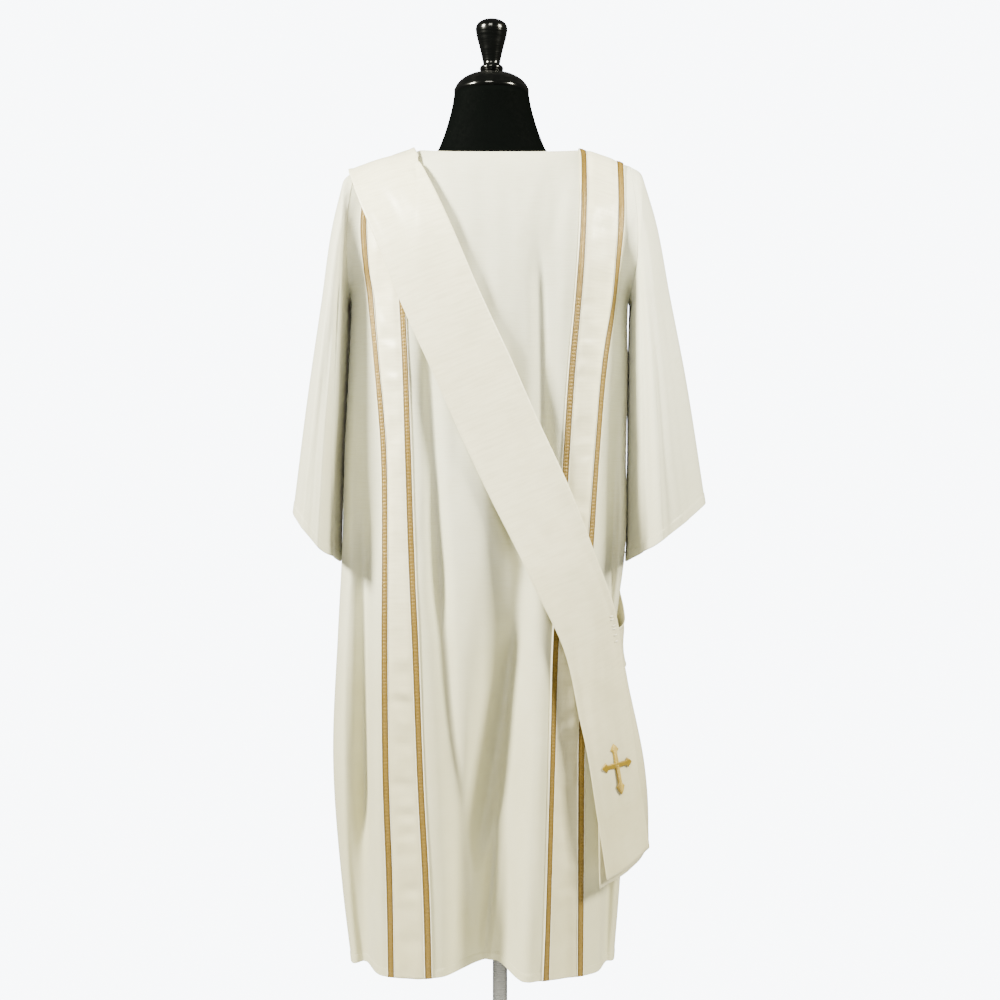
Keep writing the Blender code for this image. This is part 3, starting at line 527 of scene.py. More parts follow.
def makeSatinMaterial(name, look):
    # long smooth floats along the cut, so the noise is drawn out that way; a brighter broad highlight
    material, w, shader = newMaterial(name, look["light"], look["roughness"], Sheen_Weight=0.10,
                                      Sheen_Roughness=0.4, Specular_IOR_Level=0.45, Anisotropic=0.35)
    cut = w.cutPlace()
    floats = w.drawnNoise(cut, (900.0, 90.0, 1.0), 2.0)
    rib = w.drawnNoise(cut, (26.0, 240.0, 1.0), 3.0)
    # the group paints shade towards the bottom as well as its drift in tone
    toneAndShade = w.put("ShaderNodeGroup", {"Light": look["light"], "Dark": look["dark"]}, node_tree=toneAndShadeGroup)
    share = w.spread(rib.outputs[0], 0.40, 0.72, 0.0, 0.30)
    w.tree.links.new(w.mixColour(share, toneAndShade.outputs["Colour"], look["dark"]), shader.inputs["Base Color"])
    rough = w.spread(floats.outputs[0], 0.3, 0.7, look["roughness"] - 0.06, look["roughness"] + 0.08)
    w.tree.links.new(rough, shader.inputs["Roughness"])
    height = w.value("MULTIPLY", w.value("ADD", floats.outputs[0], w.value("MULTIPLY", rib.outputs[0], 1.6)),
                     look["floats"])
    w.bumpInto(shader, look["bump"], 1.0, height)
    return material


goldLook = dict(thread=(0.250, 0.158, 0.026, 1), deep=(0.090, 0.054, 0.008, 1), metallic=0.20, roughness=0.40,
                coils=1400.0, coil=0.00007, bump=0.8, cordShade=0.75)


def makeGoldMaterial(name, look):
    # wrapped metal thread: fine coils slanting across the cut, with painted shade between them, tarnished in
    # spots
    material, w, shader = newMaterial(name, look["thread"], look["roughness"], look["metallic"],
                                      Specular_IOR_Level=0.5, Anisotropic=0.3)
    cut = w.cutPlace()
    parts = w.put("ShaderNodeSeparateXYZ", {0: cut})
    slant = w.value("ADD", w.value("MULTIPLY", parts.outputs[0], 0.8), parts.outputs[1])
    wound = w.value("SINE", w.value("MULTIPLY", slant, look["coils"] * 2 * math.pi))
    coil = w.value("MULTIPLY_ADD", wound, 0.5, 0.5)
    place = w.objectPlace()
    spots = w.put("ShaderNodeTexNoise", {"Vector": place, "Scale": 120.0, "Detail": 4.0, "Roughness": 0.7})
    # the group adds a little painted shade towards the bottom
    toneAndShade = w.put("ShaderNodeGroup", {"Light": look["thread"], "Dark": look["deep"], "Amount": 0.20},
                 node_tree=toneAndShadeGroup)
    cord = w.put("ShaderNodeAttribute", attribute_name="cord").outputs["Fac"]
    # painted shade in the grooves between the coils, then tarnish spots, then the edge cords darkened by
    # cordShade
    share = w.value("ADD", w.spread(coil, 0.0, 0.7, 0.30, 0.0),
                    w.spread(spots.outputs[0], 0.45, 0.75, 0.0, 0.35))
    share = w.value("MULTIPLY_ADD", cord, look["cordShade"], share)
    w.tree.links.new(w.mixColour(share, toneAndShade.outputs["Colour"], look["deep"]), shader.inputs["Base Color"])
    w.tree.links.new(w.spread(spots.outputs[0], 0.3, 0.7, look["roughness"] - 0.1, look["roughness"] + 0.14),
                     shader.inputs["Roughness"])
    height = w.value("MULTIPLY", coil, look["coil"])
    w.bumpInto(shader, look["bump"], 1.0, height)
    return material


# light and dark are the painted lit and painted shaded colours of the stitches
crossLook = dict(light=(0.500, 0.340, 0.036, 1), dark=(0.150, 0.092, 0.004, 1), mid=(0.320, 0.205, 0.014, 1),
                 metallic=0.15, roughness=0.34, stitches=1100.0, height=0.00016)


def makeCrossMaterial(name, look):
    # satin stitch: threads run across each arm, with painted light on one half and painted shade on the other
    # from the piece's own colour attribute, and painted shade between the stitches
    material, w, shader = newMaterial(name, look["mid"], look["roughness"], look["metallic"],
                                      Specular_IOR_Level=0.5, Anisotropic=0.4)
    side = w.put("ShaderNodeAttribute", attribute_name="paintedStitchShade").outputs["Fac"]
    cut = w.cutPlace()
    parts = w.put("ShaderNodeSeparateXYZ", {0: cut})
    stitch = w.value("MULTIPLY_ADD", w.value("SINE", w.value("MULTIPLY", parts.outputs[1],
                                                            look["stitches"] * 2 * math.pi)), 0.5, 0.5)
    uneven = w.drawnNoise(cut, (60.0, 900.0, 1.0), 2.0)
    paintedLightAndShade = w.mixColour(side, look["light"], look["dark"])
    # painted shade between the stitches, and uneven thread
    share = w.value("ADD", w.spread(stitch, 0.0, 0.6, 0.30, 0.0),
                    w.spread(uneven.outputs[0], 0.4, 0.7, 0.0, 0.35))
    w.tree.links.new(w.mixColour(share, paintedLightAndShade, look["dark"]), shader.inputs["Base Color"])
    rough = w.spread(uneven.outputs[0], 0.3, 0.7, look["roughness"] - 0.08, look["roughness"] + 0.12)
    w.tree.links.new(rough, shader.inputs["Roughness"])
    height = w.value("MULTIPLY", w.value("ADD", stitch, uneven.outputs[0]), look["height"])
    w.bumpInto(shader, 0.7, 1.0, height)
    return material


def makeThreadMaterial(name, light, dark, roughness):
    # sewing thread and cord: a fine twist from object coordinates
    material, w, shader = newMaterial(name, light, roughness, Sheen_Weight=0.1)
    place = w.objectPlace()
    twist = w.put("ShaderNodeTexNoise", {"Vector": place, "Scale": 900.0, "Detail": 2.0})
    w.tree.links.new(w.mixColour(w.spread(twist.outputs[0], 0.35, 0.7, 0.0, 1.0), light, dark),
                     shader.inputs["Base Color"])
    w.tree.links.new(w.spread(twist.outputs[0], 0.3, 0.7, roughness - 0.08, roughness + 0.08),
                     shader.inputs["Roughness"])
    return material


def makeJerseyMaterial(name):
    # a fine black knit over the form: small ribs, faint lint and a soft sheen
    material, w, shader = newMaterial(name, (0.0004, 0.0008, 0.0007, 1), 0.85, Specular_IOR_Level=0.02)
    place = w.objectPlace()
    knit = w.put("ShaderNodeTexVoronoi", {"Vector": w.put("ShaderNodeMapping", {
        "Vector": place, "Scale": (900.0, 900.0, 600.0)}).outputs[0], "Scale": 1.0})
    lint = w.put("ShaderNodeTexNoise", {"Vector": place, "Scale": 160.0, "Detail": 5.0, "Roughness": 0.75})
    toneAndShade = w.put("ShaderNodeGroup", {"Light": (0.0004, 0.0008, 0.0007, 1),
                                     "Dark": (0.0010, 0.0014, 0.0013, 1)}, node_tree=toneAndShadeGroup)
    w.tree.links.new(w.mixColour(w.spread(lint.outputs[0], 0.62, 0.80, 0.0, 0.5), toneAndShade.outputs["Colour"],
                                 (0.0016, 0.0018, 0.0017, 1)), shader.inputs["Base Color"])
    w.tree.links.new(w.spread(lint.outputs[0], 0.3, 0.7, 0.70, 0.86), shader.inputs["Roughness"])
    w.bumpInto(shader, 0.5, 0.0003, knit.outputs["Distance"])
    return material


def makeGlossMaterial(name):
    # turned wood in black lacquer: faint rings, dust on its upper faces and fine rubs in the gloss
    material, w, shader = newMaterial(name, (0.0012, 0.0014, 0.0014, 1), 0.20, Specular_IOR_Level=0.35)
    place = w.objectPlace()
    rubs = w.put("ShaderNodeTexNoise", {"Vector": w.put("ShaderNodeMapping", {
        "Vector": place, "Scale": (30.0, 30.0, 500.0)}).outputs[0], "Scale": 1.0, "Detail": 4.0})
    facing = w.put("ShaderNodeSeparateXYZ", {0: w.put("ShaderNodeNewGeometry").outputs["Normal"]}).outputs[2]
    patch = w.put("ShaderNodeTexNoise", {"Vector": place, "Scale": 45.0, "Detail": 5.0, "Roughness": 0.7})
    dust = w.value("MULTIPLY", w.spread(facing, 0.3, 1.0, 0.0, 1.0),
                   w.spread(patch.outputs[0], 0.45, 0.7, 0.0, 0.5))
    w.tree.links.new(w.mixColour(dust, (0.0012, 0.0014, 0.0014, 1), (0.0120, 0.0118, 0.0112, 1)),
                     shader.inputs["Base Color"])
    w.tree.links.new(w.value("ADD", w.spread(rubs.outputs[0], 0.35, 0.7, 0.10, 0.24),
                             w.value("MULTIPLY", dust, 0.5)), shader.inputs["Roughness"])
    return material


def makeSteelMaterial(name):
    # drawn steel tube: brushing runs round it, with small darker marks
    material, w, shader = newMaterial(name, (0.30, 0.30, 0.305, 1), 0.3, 0.8)
    place = w.objectPlace()
    brush = w.put("ShaderNodeTexNoise", {"Vector": w.put("ShaderNodeMapping", {
        "Vector": place, "Scale": (20.0, 20.0, 900.0)}).outputs[0], "Scale": 1.0, "Detail": 3.0})
    marks = w.put("ShaderNodeTexNoise", {"Vector": place, "Scale": 60.0, "Detail": 5.0, "Roughness": 0.75})
    w.tree.links.new(w.mixColour(w.spread(marks.outputs[0], 0.55, 0.80, 0.0, 0.3), (0.30, 0.30, 0.305, 1),
                                 (0.19, 0.188, 0.185, 1)), shader.inputs["Base Color"])
    w.tree.links.new(w.spread(brush.outputs[0], 0.3, 0.7, 0.22, 0.38), shader.inputs["Roughness"])
    return material


def makePaintMaterial(name):
    # powder coat: a fine orange peel, scuffed and dusty on top
    material, w, shader = newMaterial(name, (0.045, 0.045, 0.050, 1), 0.42)
    place = w.objectPlace()
    peel = w.put("ShaderNodeTexNoise", {"Vector": place, "Scale": 700.0, "Detail": 2.0})
    scuff = w.put("ShaderNodeTexNoise", {"Vector": place, "Scale": 22.0, "Detail": 7.0, "Roughness": 0.8})
    facing = w.put("ShaderNodeSeparateXYZ", {0: w.put("ShaderNodeNewGeometry").outputs["Normal"]}).outputs[2]
    dust = w.value("MULTIPLY", w.spread(facing, 0.2, 1.0, 0.0, 1.0),
                   w.spread(scuff.outputs[0], 0.40, 0.68, 0.0, 0.55))
    w.tree.links.new(w.mixColour(dust, (0.045, 0.045, 0.050, 1), (0.170, 0.165, 0.155, 1)),
                     shader.inputs["Base Color"])
    w.tree.links.new(w.spread(scuff.outputs[0], 0.35, 0.65, 0.36, 0.62), shader.inputs["Roughness"])
    w.bumpInto(shader, 0.35, 0.0002, peel.outputs[0])
    return material


ivoryCloth = makeClothMaterial("ivoryCloth", clothLook)
ivorySatin = makeSatinMaterial("ivorySatin", satinLook)
goldBraid = makeGoldMaterial("goldBraid", goldLook)
crossThread = makeCrossMaterial("crossThread", crossLook)
creamThread = makeThreadMaterial("creamThread", (0.830, 0.800, 0.690, 1), (0.640, 0.600, 0.470, 1), 0.6)
jersey = makeJerseyMaterial("jersey")
blackGloss = makeGlossMaterial("blackGloss")
steelPole = makeSteelMaterial("steelPole")
footPaint = makePaintMaterial("footPaint")
print("materials made")


# The panels.
panelCloth = dict(columns=158, skirtRows=190, yokeRows=54, hemRows=14, hemDepth=0.0112, hemStep=0.0007,
                  neckDepth=0.0080, wall=0.0012, seamPucker=0.0006, puckerLength=0.011)


def panelRows(values):
    # close rows across the hem's allowance, even ones up the skirt, then the yoke's
    z, up = bodyRows(values["skirtRows"], values["yokeRows"])
    start = bodyForm["hem"] + 1.35 * values["hemDepth"]
    hemZ = np.linspace(bodyForm["hem"], start, values["hemRows"], endpoint=False)
    skirtZ = np.linspace(start, bodyForm["underarm"], values["skirtRows"] + 1)
    z = np.concatenate([hemZ, skirtZ, z[up > 0.0]])
    return z, np.concatenate([np.zeros(len(z) - values["yokeRows"]), up[up > 0.0]])


def pathFromTop(points):
    # the distance down each column from the top row
    steps = np.linalg.norm(np.diff(points, axis=0), axis=2)
    down = np.cumsum(steps[::-1], axis=0)[::-1]
    return np.concatenate([down, np.zeros((1, points.shape[1]))], axis=0)


def pathFromBottom(points):
    # the length of each column from its foot: a running sum of the steps between rows
    steps = np.linalg.norm(np.diff(points, axis=0), axis=2)
    return np.concatenate([np.zeros((1, points.shape[1])), np.cumsum(steps, axis=0)], axis=0)


turning = dict(fade=0.0016, dimple=0.55, dimpleWidth=0.0013)


def turnedEdge(distance, depth, step):
    # double cloth out to the stitch line, which pulls a narrow dimple
    beyond = distance - depth
    doubled = step * (1.0 - softStep(beyond / turning["fade"]))
    return doubled - turning["dimple"] * step * bell(beyond / turning["dimpleWidth"])


def panelGrid(side, values):
    # columns at even turns round the section, then hem, neck, seams and puckers along the normals
    rowZ, up = panelRows(values)
    turn = np.linspace(-math.pi / 2, math.pi / 2, values["columns"] + 1)[None, :]
    left, right = bodyLine("left", rowZ)[:, None], bodyLine("right", rowZ)[:, None]
    x = (left + right) / 2 + (right - left) / 2 * np.sin(turn)
    points = onBody(side, x, rowZ, up)
    normals = bodyNormals(side, points)
    fromTop, fromHem = pathFromTop(points), pathFromBottom(points)
    atNeck = softStep(neckShare(points[:, :, 0]) * 3.0)
    off = turnedEdge(fromHem, values["hemDepth"], values["hemStep"])
    off = off + turnedEdge(fromTop, values["neckDepth"], values["hemStep"]) * atNeck
    off = off - 0.0006 * bell(fromTop / 0.0022) * (1.0 - atNeck)
    steps = np.linalg.norm(np.diff(points, axis=1), axis=2)
    fromLeft = np.concatenate([np.zeros((len(rowZ), 1)), np.cumsum(steps, axis=1)], axis=1)
    toSeam = np.minimum(fromLeft, fromLeft[:, -1:] - fromLeft)
    z = points[:, :, 2]
    pucker = latticeNoise(z / values["puckerLength"] + 9, toSeam / 0.03 + 5, 21 if side == "back" else 22)
    shoulder = latticeNoise(points[:, :, 0] / values["puckerLength"] + 40, fromTop / 0.03 + 5, 23)
    off = off + values["seamPucker"] * pucker * bell((toSeam - 0.007) / 0.007)
    off = off + values["seamPucker"] * shoulder * bell((fromTop - 0.006) / 0.006) * (1.0 - atNeck)
    hemWave = latticeNoise(points[:, :, 0] / 0.014 + 33, z / 0.05 + 2, 24) * bell((fromHem - 0.009) / 0.012)
    off = off + 0.0005 * hemWave
    off = off * np.clip(toSeam / 0.004, 0.0, 1.0)
    return points + normals * off[:, :, None]


panelGrids = {side: panelGrid(side, panelCloth) for side in ("back", "front")}


def buildPanel(side):
    # the panel's grid with its wall laid on the inner side
    return clothPiece(side + "Panel", panelGrids[side], ivoryCloth, panelCloth["wall"], flip=side == "front")


backPanel = buildPanel("back")
frontPanel = buildPanel("front")
print("panels built")


# The clavus bands and their braids.
bandCloth = dict(columns=16, skirtRows=250, yokeRows=40, wall=0.0008, lift=0.0013, overhang=0.0016,
                 pucker=0.0034, puckerLength=0.0150, caught=0.0100, rise=0.0110)


def stripGrid(side, lineA, lineB, marginA, marginB, columns, skirt, yoke):
    # a strip of the body's surface between two of its drawn lines
    rowZ, up = bodyRows(skirt, yoke)
    xa, xb = bodyLine(lineA, rowZ)[:, None] - marginA, bodyLine(lineB, rowZ)[:, None] + marginB
    points = onBody(side, xa + (xb - xa) * np.linspace(0.0, 1.0, columns + 1)[None, :], rowZ, up)
    return points, bodyNormals(side, points)


def buildBand(side, hand):
    # satin laid on the panel, caught along both edges so it cockles across its middle
    v = bandCloth
    a, b = ("leftOuter", "leftInner") if hand == "left" else ("rightInner", "rightOuter")
    margin = bodyForm["braidWidth"] / 2 + v["overhang"]
    points, normals = stripGrid(side, a, b, margin, margin, v["columns"], v["skirtRows"], v["yokeRows"])
    share = np.linspace(0.0, 1.0, v["columns"] + 1)[None, :]
    z = points[:, :, 2]
    seed = 70 + 2 * ("left" == hand) + ("back" == side)
    lean = share * 0.9 * latticeNoise(z * 0 + 3, z / 0.06 + 9, seed + 4)
    cockle = latticeNoise(z / v["puckerLength"] + 3 + lean, share * 1.6 + 12, seed)
    small = latticeNoise(z / 0.0065 + 3, share * 2.5 + 12, seed + 9)
    width = np.linalg.norm(points[:, -1] - points[:, 0], axis=1)[:, None]
    across = softStep((np.minimum(share, 1.0 - share) * width - v["caught"]) / v["rise"])
    off = v["lift"] + v["pucker"] * (0.5 + 0.5 * cockle) * across + 0.0002 * small * across
    points = points + normals * off[:, :, None]
    return clothPiece("band" + side.capitalize() + hand.capitalize(), points, ivorySatin, v["wall"],
                      flip=side == "front")


bands = {(side, hand): buildBand(side, hand) for side in ("back", "front") for hand in ("left", "right")}
print("bands built")

braidTrim = dict(halfWidth=0.0047, skirtRows=780, yokeRows=150, bead=0.0052, lift=0.0015,
                 profile=((-1.00, 0.0000, 1), (-0.95, 0.0008, 1), (-0.72, 0.0012, 1), (-0.52, 0.0007, 0),
                          (-0.25, 0.0012, 0), (0.00, 0.0015, 0), (0.25, 0.0012, 0), (0.52, 0.0007, 0),
                          (0.72, 0.0012, 1), (0.95, 0.0008, 1), (1.00, 0.0000, 1)))


def trimFrame(side, line, skirt, yoke):
    # the line's path on the body, with the directions across the strip and out from the cloth
    rowZ, up = bodyRows(skirt, yoke)
    x = bodyLine(line, rowZ)[:, None] + np.array([[-0.002, 0.0, 0.002]])
    points = onBody(side, x, rowZ, up)
    normals = bodyNormals(side, points)[:, 1]
    across = points[:, 2] - points[:, 0]
    across = across - normals * (across * normals).sum(axis=1, keepdims=True)
    across = across / np.linalg.norm(across, axis=1, keepdims=True)
    return points[:, 1], across * (1.0 if side == "back" else -1.0), normals


def buildBraid(side, line, name):
    # an edge cord on each side of a row of beads; the beads swell and narrow along the braid
    v = braidTrim
    centre, across, out = trimFrame(side, line, v["skirtRows"], v["yokeRows"])
    run = np.concatenate([[0.0], np.cumsum(np.linalg.norm(np.diff(centre, axis=0), axis=1))])
    run = run + 0.0010 * latticeNoise(run / 0.04 + 4, run * 0 + 2, 90)
    bead = np.abs(np.sin(math.pi * run / v["bead"]))[:, None] ** 0.8
    table = np.array(v["profile"])
    middle = 1.0 - table[None, :, 2]
    wobble = 0.00022 * latticeNoise(run / 0.011 + 5, run * 0 + 8, 91)[:, None]
    a = table[None, :, 0] * v["halfWidth"] * (1.0 - 0.10 * middle * (1.0 - bead)) + wobble
    o = table[None, :, 1] * (1.0 - middle * 0.45 * (1.0 - bead)) + v["lift"] * (table[None, :, 1] > 0)
    o = o + (v["lift"] - 0.0002) * (table[None, :, 1] == 0)
    profile = np.stack([a + bead * 0, o + bead * 0], axis=-1)
    braid = carriedProfile(name, centre, across, out, profile, goldBraid)
    cord = braid.data.attributes.new("cord", "FLOAT", "POINT")
    cord.data.foreach_set("value", np.tile(table[:, 2], len(run)).astype(np.float32))
    return braid


braidLines = dict(left=(("leftOuter", "outer"), ("leftInner", "inner")),
                  right=(("rightInner", "inner"), ("rightOuter", "outer")))
braids = {(side, hand, place): buildBraid(side, line, "braid" + side.capitalize() + hand.capitalize()
                                          + place.capitalize())
          for side in ("back", "front") for hand in ("left", "right") for line, place in braidLines[hand]}
print("braids built")

pipingTrim = dict(offset=0.0052, radius=0.0007, sides=6, skirtRows=240, yokeRows=50, lift=0.0016)


def joinedTubes(name, paths, radius, sides, material):
    # round tubes along several paths as one piece: each path is (centre, across, out)
    turn = np.linspace(0.0, 2 * math.pi, sides, endpoint=False)
    allPoints, allFaces, allUv, start = [], [], [], 0
    for centre, across, out in paths:
        ring = (across[:, None] * np.cos(turn)[None, :, None] + out[:, None] * np.sin(turn)[None, :, None])
        points = centre[:, None] + ring * radius
        rows = len(centre)
        faces = gridFaces(rows, sides, True, False) + start
        allPoints.append(points.reshape(-1, 3))
        allUv.append(wrapCut(points).reshape(-1, 2))
        allFaces += faces.tolist()
        allFaces.append([start + i for i in range(sides - 1, -1, -1)])
        allFaces.append([start + (rows - 1) * sides + i for i in range(sides)])
        start += rows * sides
    return addPiece(name, np.concatenate(allPoints), allFaces, material, np.concatenate(allUv))


def buildPiping(side):
    # a thin cord beside both edges of every braid on one side of the garment
    v = pipingTrim
    paths = []
    for line in ("leftOuter", "leftInner", "rightInner", "rightOuter"):
        centre, across, out = trimFrame(side, line, v["skirtRows"], v["yokeRows"])
        for edge in (-1.0, 1.0):
            paths.append((centre + across * v["offset"] * edge + out * v["lift"], across, out))
    return joinedTubes("piping" + side.capitalize(), paths, v["radius"], v["sides"], creamThread)


pipings = {side: buildPiping(side) for side in ("back", "front")}
print("piping built")


# The sleeves.
sleeveCloth = dict(
    columns=112, headRows=14, rows=128, cuffRows=10, cuffDepth=0.0140, cuffStep=0.0007, wall=0.0012,
    headJoin=0.06, outward=0.0003, seamPucker=0.0007,
    names=("along", "outerX", "outerZ", "innerX", "innerZ", "back", "front"),
    right=(
        (0.06, 0.2130, 1.4560, 0.1955, 1.2600, 0.092, 0.092),
        (0.18, 0.2310, 1.3950, 0.1940, 1.2330, 0.102, 0.102),
        (0.40, 0.2530, 1.2800, 0.1924, 1.1500, 0.112, 0.114),
        (0.65, 0.2770, 1.1560, 0.1912, 1.0450, 0.118, 0.122),
        (1.00, 0.3060, 0.9720, 0.1890, 0.8830, 0.122, 0.128)),
    left=(
        (0.06, 0.2340, 1.4480, 0.2262, 1.2600, 0.094, 0.092),
        (0.18, 0.2480, 1.3880, 0.2262, 1.2330, 0.106, 0.104),
        (0.40, 0.2650, 1.2700, 0.2296, 1.1500, 0.118, 0.120),
        (0.65, 0.2840, 1.1400, 0.2350, 1.0450, 0.126, 0.130),
        (1.00, 0.3070, 0.9600, 0.2396, 0.8830, 0.132, 0.138)))

# folds of the sleeves: the angle round the ring at the head and at the cuff (0 at its outer end and 90
# at the back), where along it starts and ends, its half width in degrees, and its depth at both ends
sleeveFoldNames = ("headAngle", "cuffAngle", "start", "end", "halfWidth", "headDepth", "cuffDepth")
sleeveFolds = dict(
    right=(
        (150, 150, 0.00, 1.0, 22, -0.004, -0.034), (112, 112, 0.00, 1.0, 14, 0.002, 0.010),
        (48, 48, 0.00, 1.0, 16, -0.002, -0.010), (236, 236, 0.00, 1.0, 16, -0.003, -0.024),
        (290, 290, 0.00, 1.0, 18, 0.000, 0.010), (112, 126, 0.04, 1.0, 6, -0.0060, -0.0180),
        (134, 150, 0.03, 0.70, 7, 0.0060, 0.0050), (78, 84, 0.10, 0.95, 8, 0.0020, 0.0030),
        (62, 60, 0.25, 1.0, 7, -0.0022, -0.0050), (96, 104, 0.20, 1.0, 5, 0.0020, 0.0044),
        (28, 34, 0.15, 0.80, 7, 0.0016, 0.0024), (160, 165, 0.05, 0.55, 6, -0.0034, -0.0030),
        (206, 200, 0.10, 0.90, 8, 0.0020, 0.0030), (262, 268, 0.15, 1.0, 8, 0.0018, 0.0040),
        (316, 322, 0.10, 0.85, 8, -0.0018, -0.0040)),
    left=(
        (152, 152, 0.00, 1.0, 22, -0.004, -0.036), (116, 116, 0.00, 1.0, 13, 0.002, 0.010),
        (52, 52, 0.00, 1.0, 14, 0.000, -0.008), (250, 250, 0.00, 1.0, 16, -0.003, -0.022),
        (300, 300, 0.00, 1.0, 18, 0.000, 0.010), (100, 140, 0.04, 1.0, 6, -0.0060, -0.0200),
        (128, 152, 0.03, 0.70, 7, 0.0060, 0.0050), (72, 70, 0.20, 1.0, 6, 0.0018, 0.0034),
        (36, 30, 0.10, 0.85, 7, -0.0014, -0.0026), (84, 90, 0.35, 1.0, 6, -0.0010, -0.0026),
        (104, 112, 0.20, 1.0, 6, 0.0018, 0.0036), (160, 166, 0.05, 0.60, 7, -0.0030, -0.0024),
        (216, 210, 0.10, 0.90, 8, 0.0020, 0.0034), (274, 280, 0.12, 1.0, 8, 0.0016, 0.0040),
        (330, 336, 0.10, 0.80, 8, -0.0018, -0.0034)))


def armholeRing(hand, turn):
    # the loop of the armhole: up one panel's own edge and down the other's, a little outside them
    column = -1 if hand == "right" else 0
    out = sleeveCloth["outward"] * (1.0 if hand == "right" else -1.0)
    share = panelRows(panelCloth)[1]
    above = np.arange(len(share)) >= len(share) - panelCloth["yokeRows"] - 1
    height = (1.0 + np.cos(turn)) / 2
    loops = []
    for side in ("back", "front"):
        edge = panelGrids[side][above, column]
        loops.append(np.stack([np.interp(height, share[above], edge[:, i]) for i in range(3)], axis=-1))
    loop = np.where((np.sin(turn) >= 0.0)[..., None], loops[0], loops[1])
    return loop + np.array([out, 0.0, 0.0])


def sleeveRing(hand, turn, along):
    # one ring for each value of along: a tall leaning loop, drawn in and let out by its folds
    out = 1.0 if hand == "right" else -1.0
    table, names = sleeveCloth[hand], sleeveCloth["names"]
    outerX, outerZ, innerX, innerZ, back, front = (
        tableCurve(names, table, name, along, "along") for name in names[1:])
    x = out * (outerX + innerX + (outerX - innerX) * np.cos(turn)) / 2
    z = (outerZ + innerZ + (outerZ - innerZ) * np.cos(turn)) / 2
    swing = np.sin(turn)
    reach = np.where(swing > 0, back, front) * np.abs(swing) ** 0.85
    for row in sleeveFolds[hand]:
        f = dict(zip(sleeveFoldNames, row))
        angle = f["headAngle"] + (f["cuffAngle"] - f["headAngle"]) * along
        depth = f["headDepth"] + (f["cuffDepth"] - f["headDepth"]) * along
        if f["start"] > 0.0 or f["end"] < 1.0:
            depth = depth * softStep((along - f["start"]) / 0.22)
        if f["end"] < 1.0:
            depth = depth * softStep((f["end"] - along) / 0.25)
        reach = reach + depth * bell((np.degrees(turn) - angle) / f["halfWidth"])
    seed = 120 if hand == "right" else 130
    degrees = np.degrees(turn) + 6.0 * latticeNoise(along * 3.0 + 9, turn * 0.6 + 7, seed + 3)
    flutes = 0.0022 * latticeNoise(degrees / 24.0 + 5, along * 2.2 + 8, seed)
    flutes = flutes + 0.0009 * latticeNoise(degrees / 11.0 + 5, along * 4.5 + 8, seed + 1)
    flutes = flutes + 0.00018 * latticeNoise(degrees / 4.5 + 5, along * 14.0 + 8, seed + 2)
    reach = reach + flutes * np.abs(swing) * (0.4 + 0.6 * along)
    return np.stack([x, -np.sign(swing) * np.maximum(reach, 0.0), z + 0 * swing], axis=2)


def sleeveGrid(hand, values):
    # the head is a smooth bridge from the armhole to the first full ring, then the rings down the arm
    turn = np.linspace(0.0, 2 * math.pi, values["columns"], endpoint=False)[None, :]
    join = values["headJoin"]
    edge = 0.040
    along = np.concatenate([np.linspace(join, 1.0 - edge, values["rows"]),
                            np.linspace(1.0 - edge, 1.0, values["cuffRows"] * 2 + 1)[1:]])[:, None]
    body = sleeveRing(hand, turn, along)
    start = armholeRing(hand, turn)
    first = body[0]
    slope = (sleeveRing(hand, turn, np.array([[join + 0.01]]))[0] - first) / 0.01 * join
    t = np.linspace(0.0, 1.0, values["headRows"], endpoint=False)[:, None, None]
    leave = (first - start) * np.array([1.6, 1.0, 0.9])
    head = ((2 * t ** 3 - 3 * t ** 2 + 1) * start + (t ** 3 - 2 * t ** 2 + t) * leave
            + (3 * t ** 2 - 2 * t ** 3) * first + (t ** 3 - t ** 2) * slope)
    points = np.concatenate([head, body], axis=0)
    normals = gridNormals(points, wraps=True) * (1.0 if hand == "right" else -1.0)
    fromHead, fromCuff = pathFromBottom(points), pathFromTop(points)
    off = turnedEdge(fromCuff, values["cuffDepth"], values["cuffStep"])
    degrees = np.degrees(turn) + 0 * fromHead
    pucker = latticeNoise(degrees / 6.5 + 4, fromHead / 0.03 + 3, 140 if hand == "right" else 141)
    off = off + values["seamPucker"] * pucker * bell((fromHead - 0.008) / 0.008)
    off = off * np.clip(fromHead / 0.004, 0.0, 1.0)
    return points + normals * off[:, :, None]


def buildSleeve(hand):
    # the sleeve's ringed grid with its wall laid on the inner side
    points = sleeveGrid(hand, sleeveCloth)
    return clothPiece("sleeve" + hand.capitalize(), points, ivoryCloth, sleeveCloth["wall"], wraps=True,
                      flip=hand == "left")


sleeves = {hand: buildSleeve(hand) for hand in ("left", "right")}
print("sleeves built")


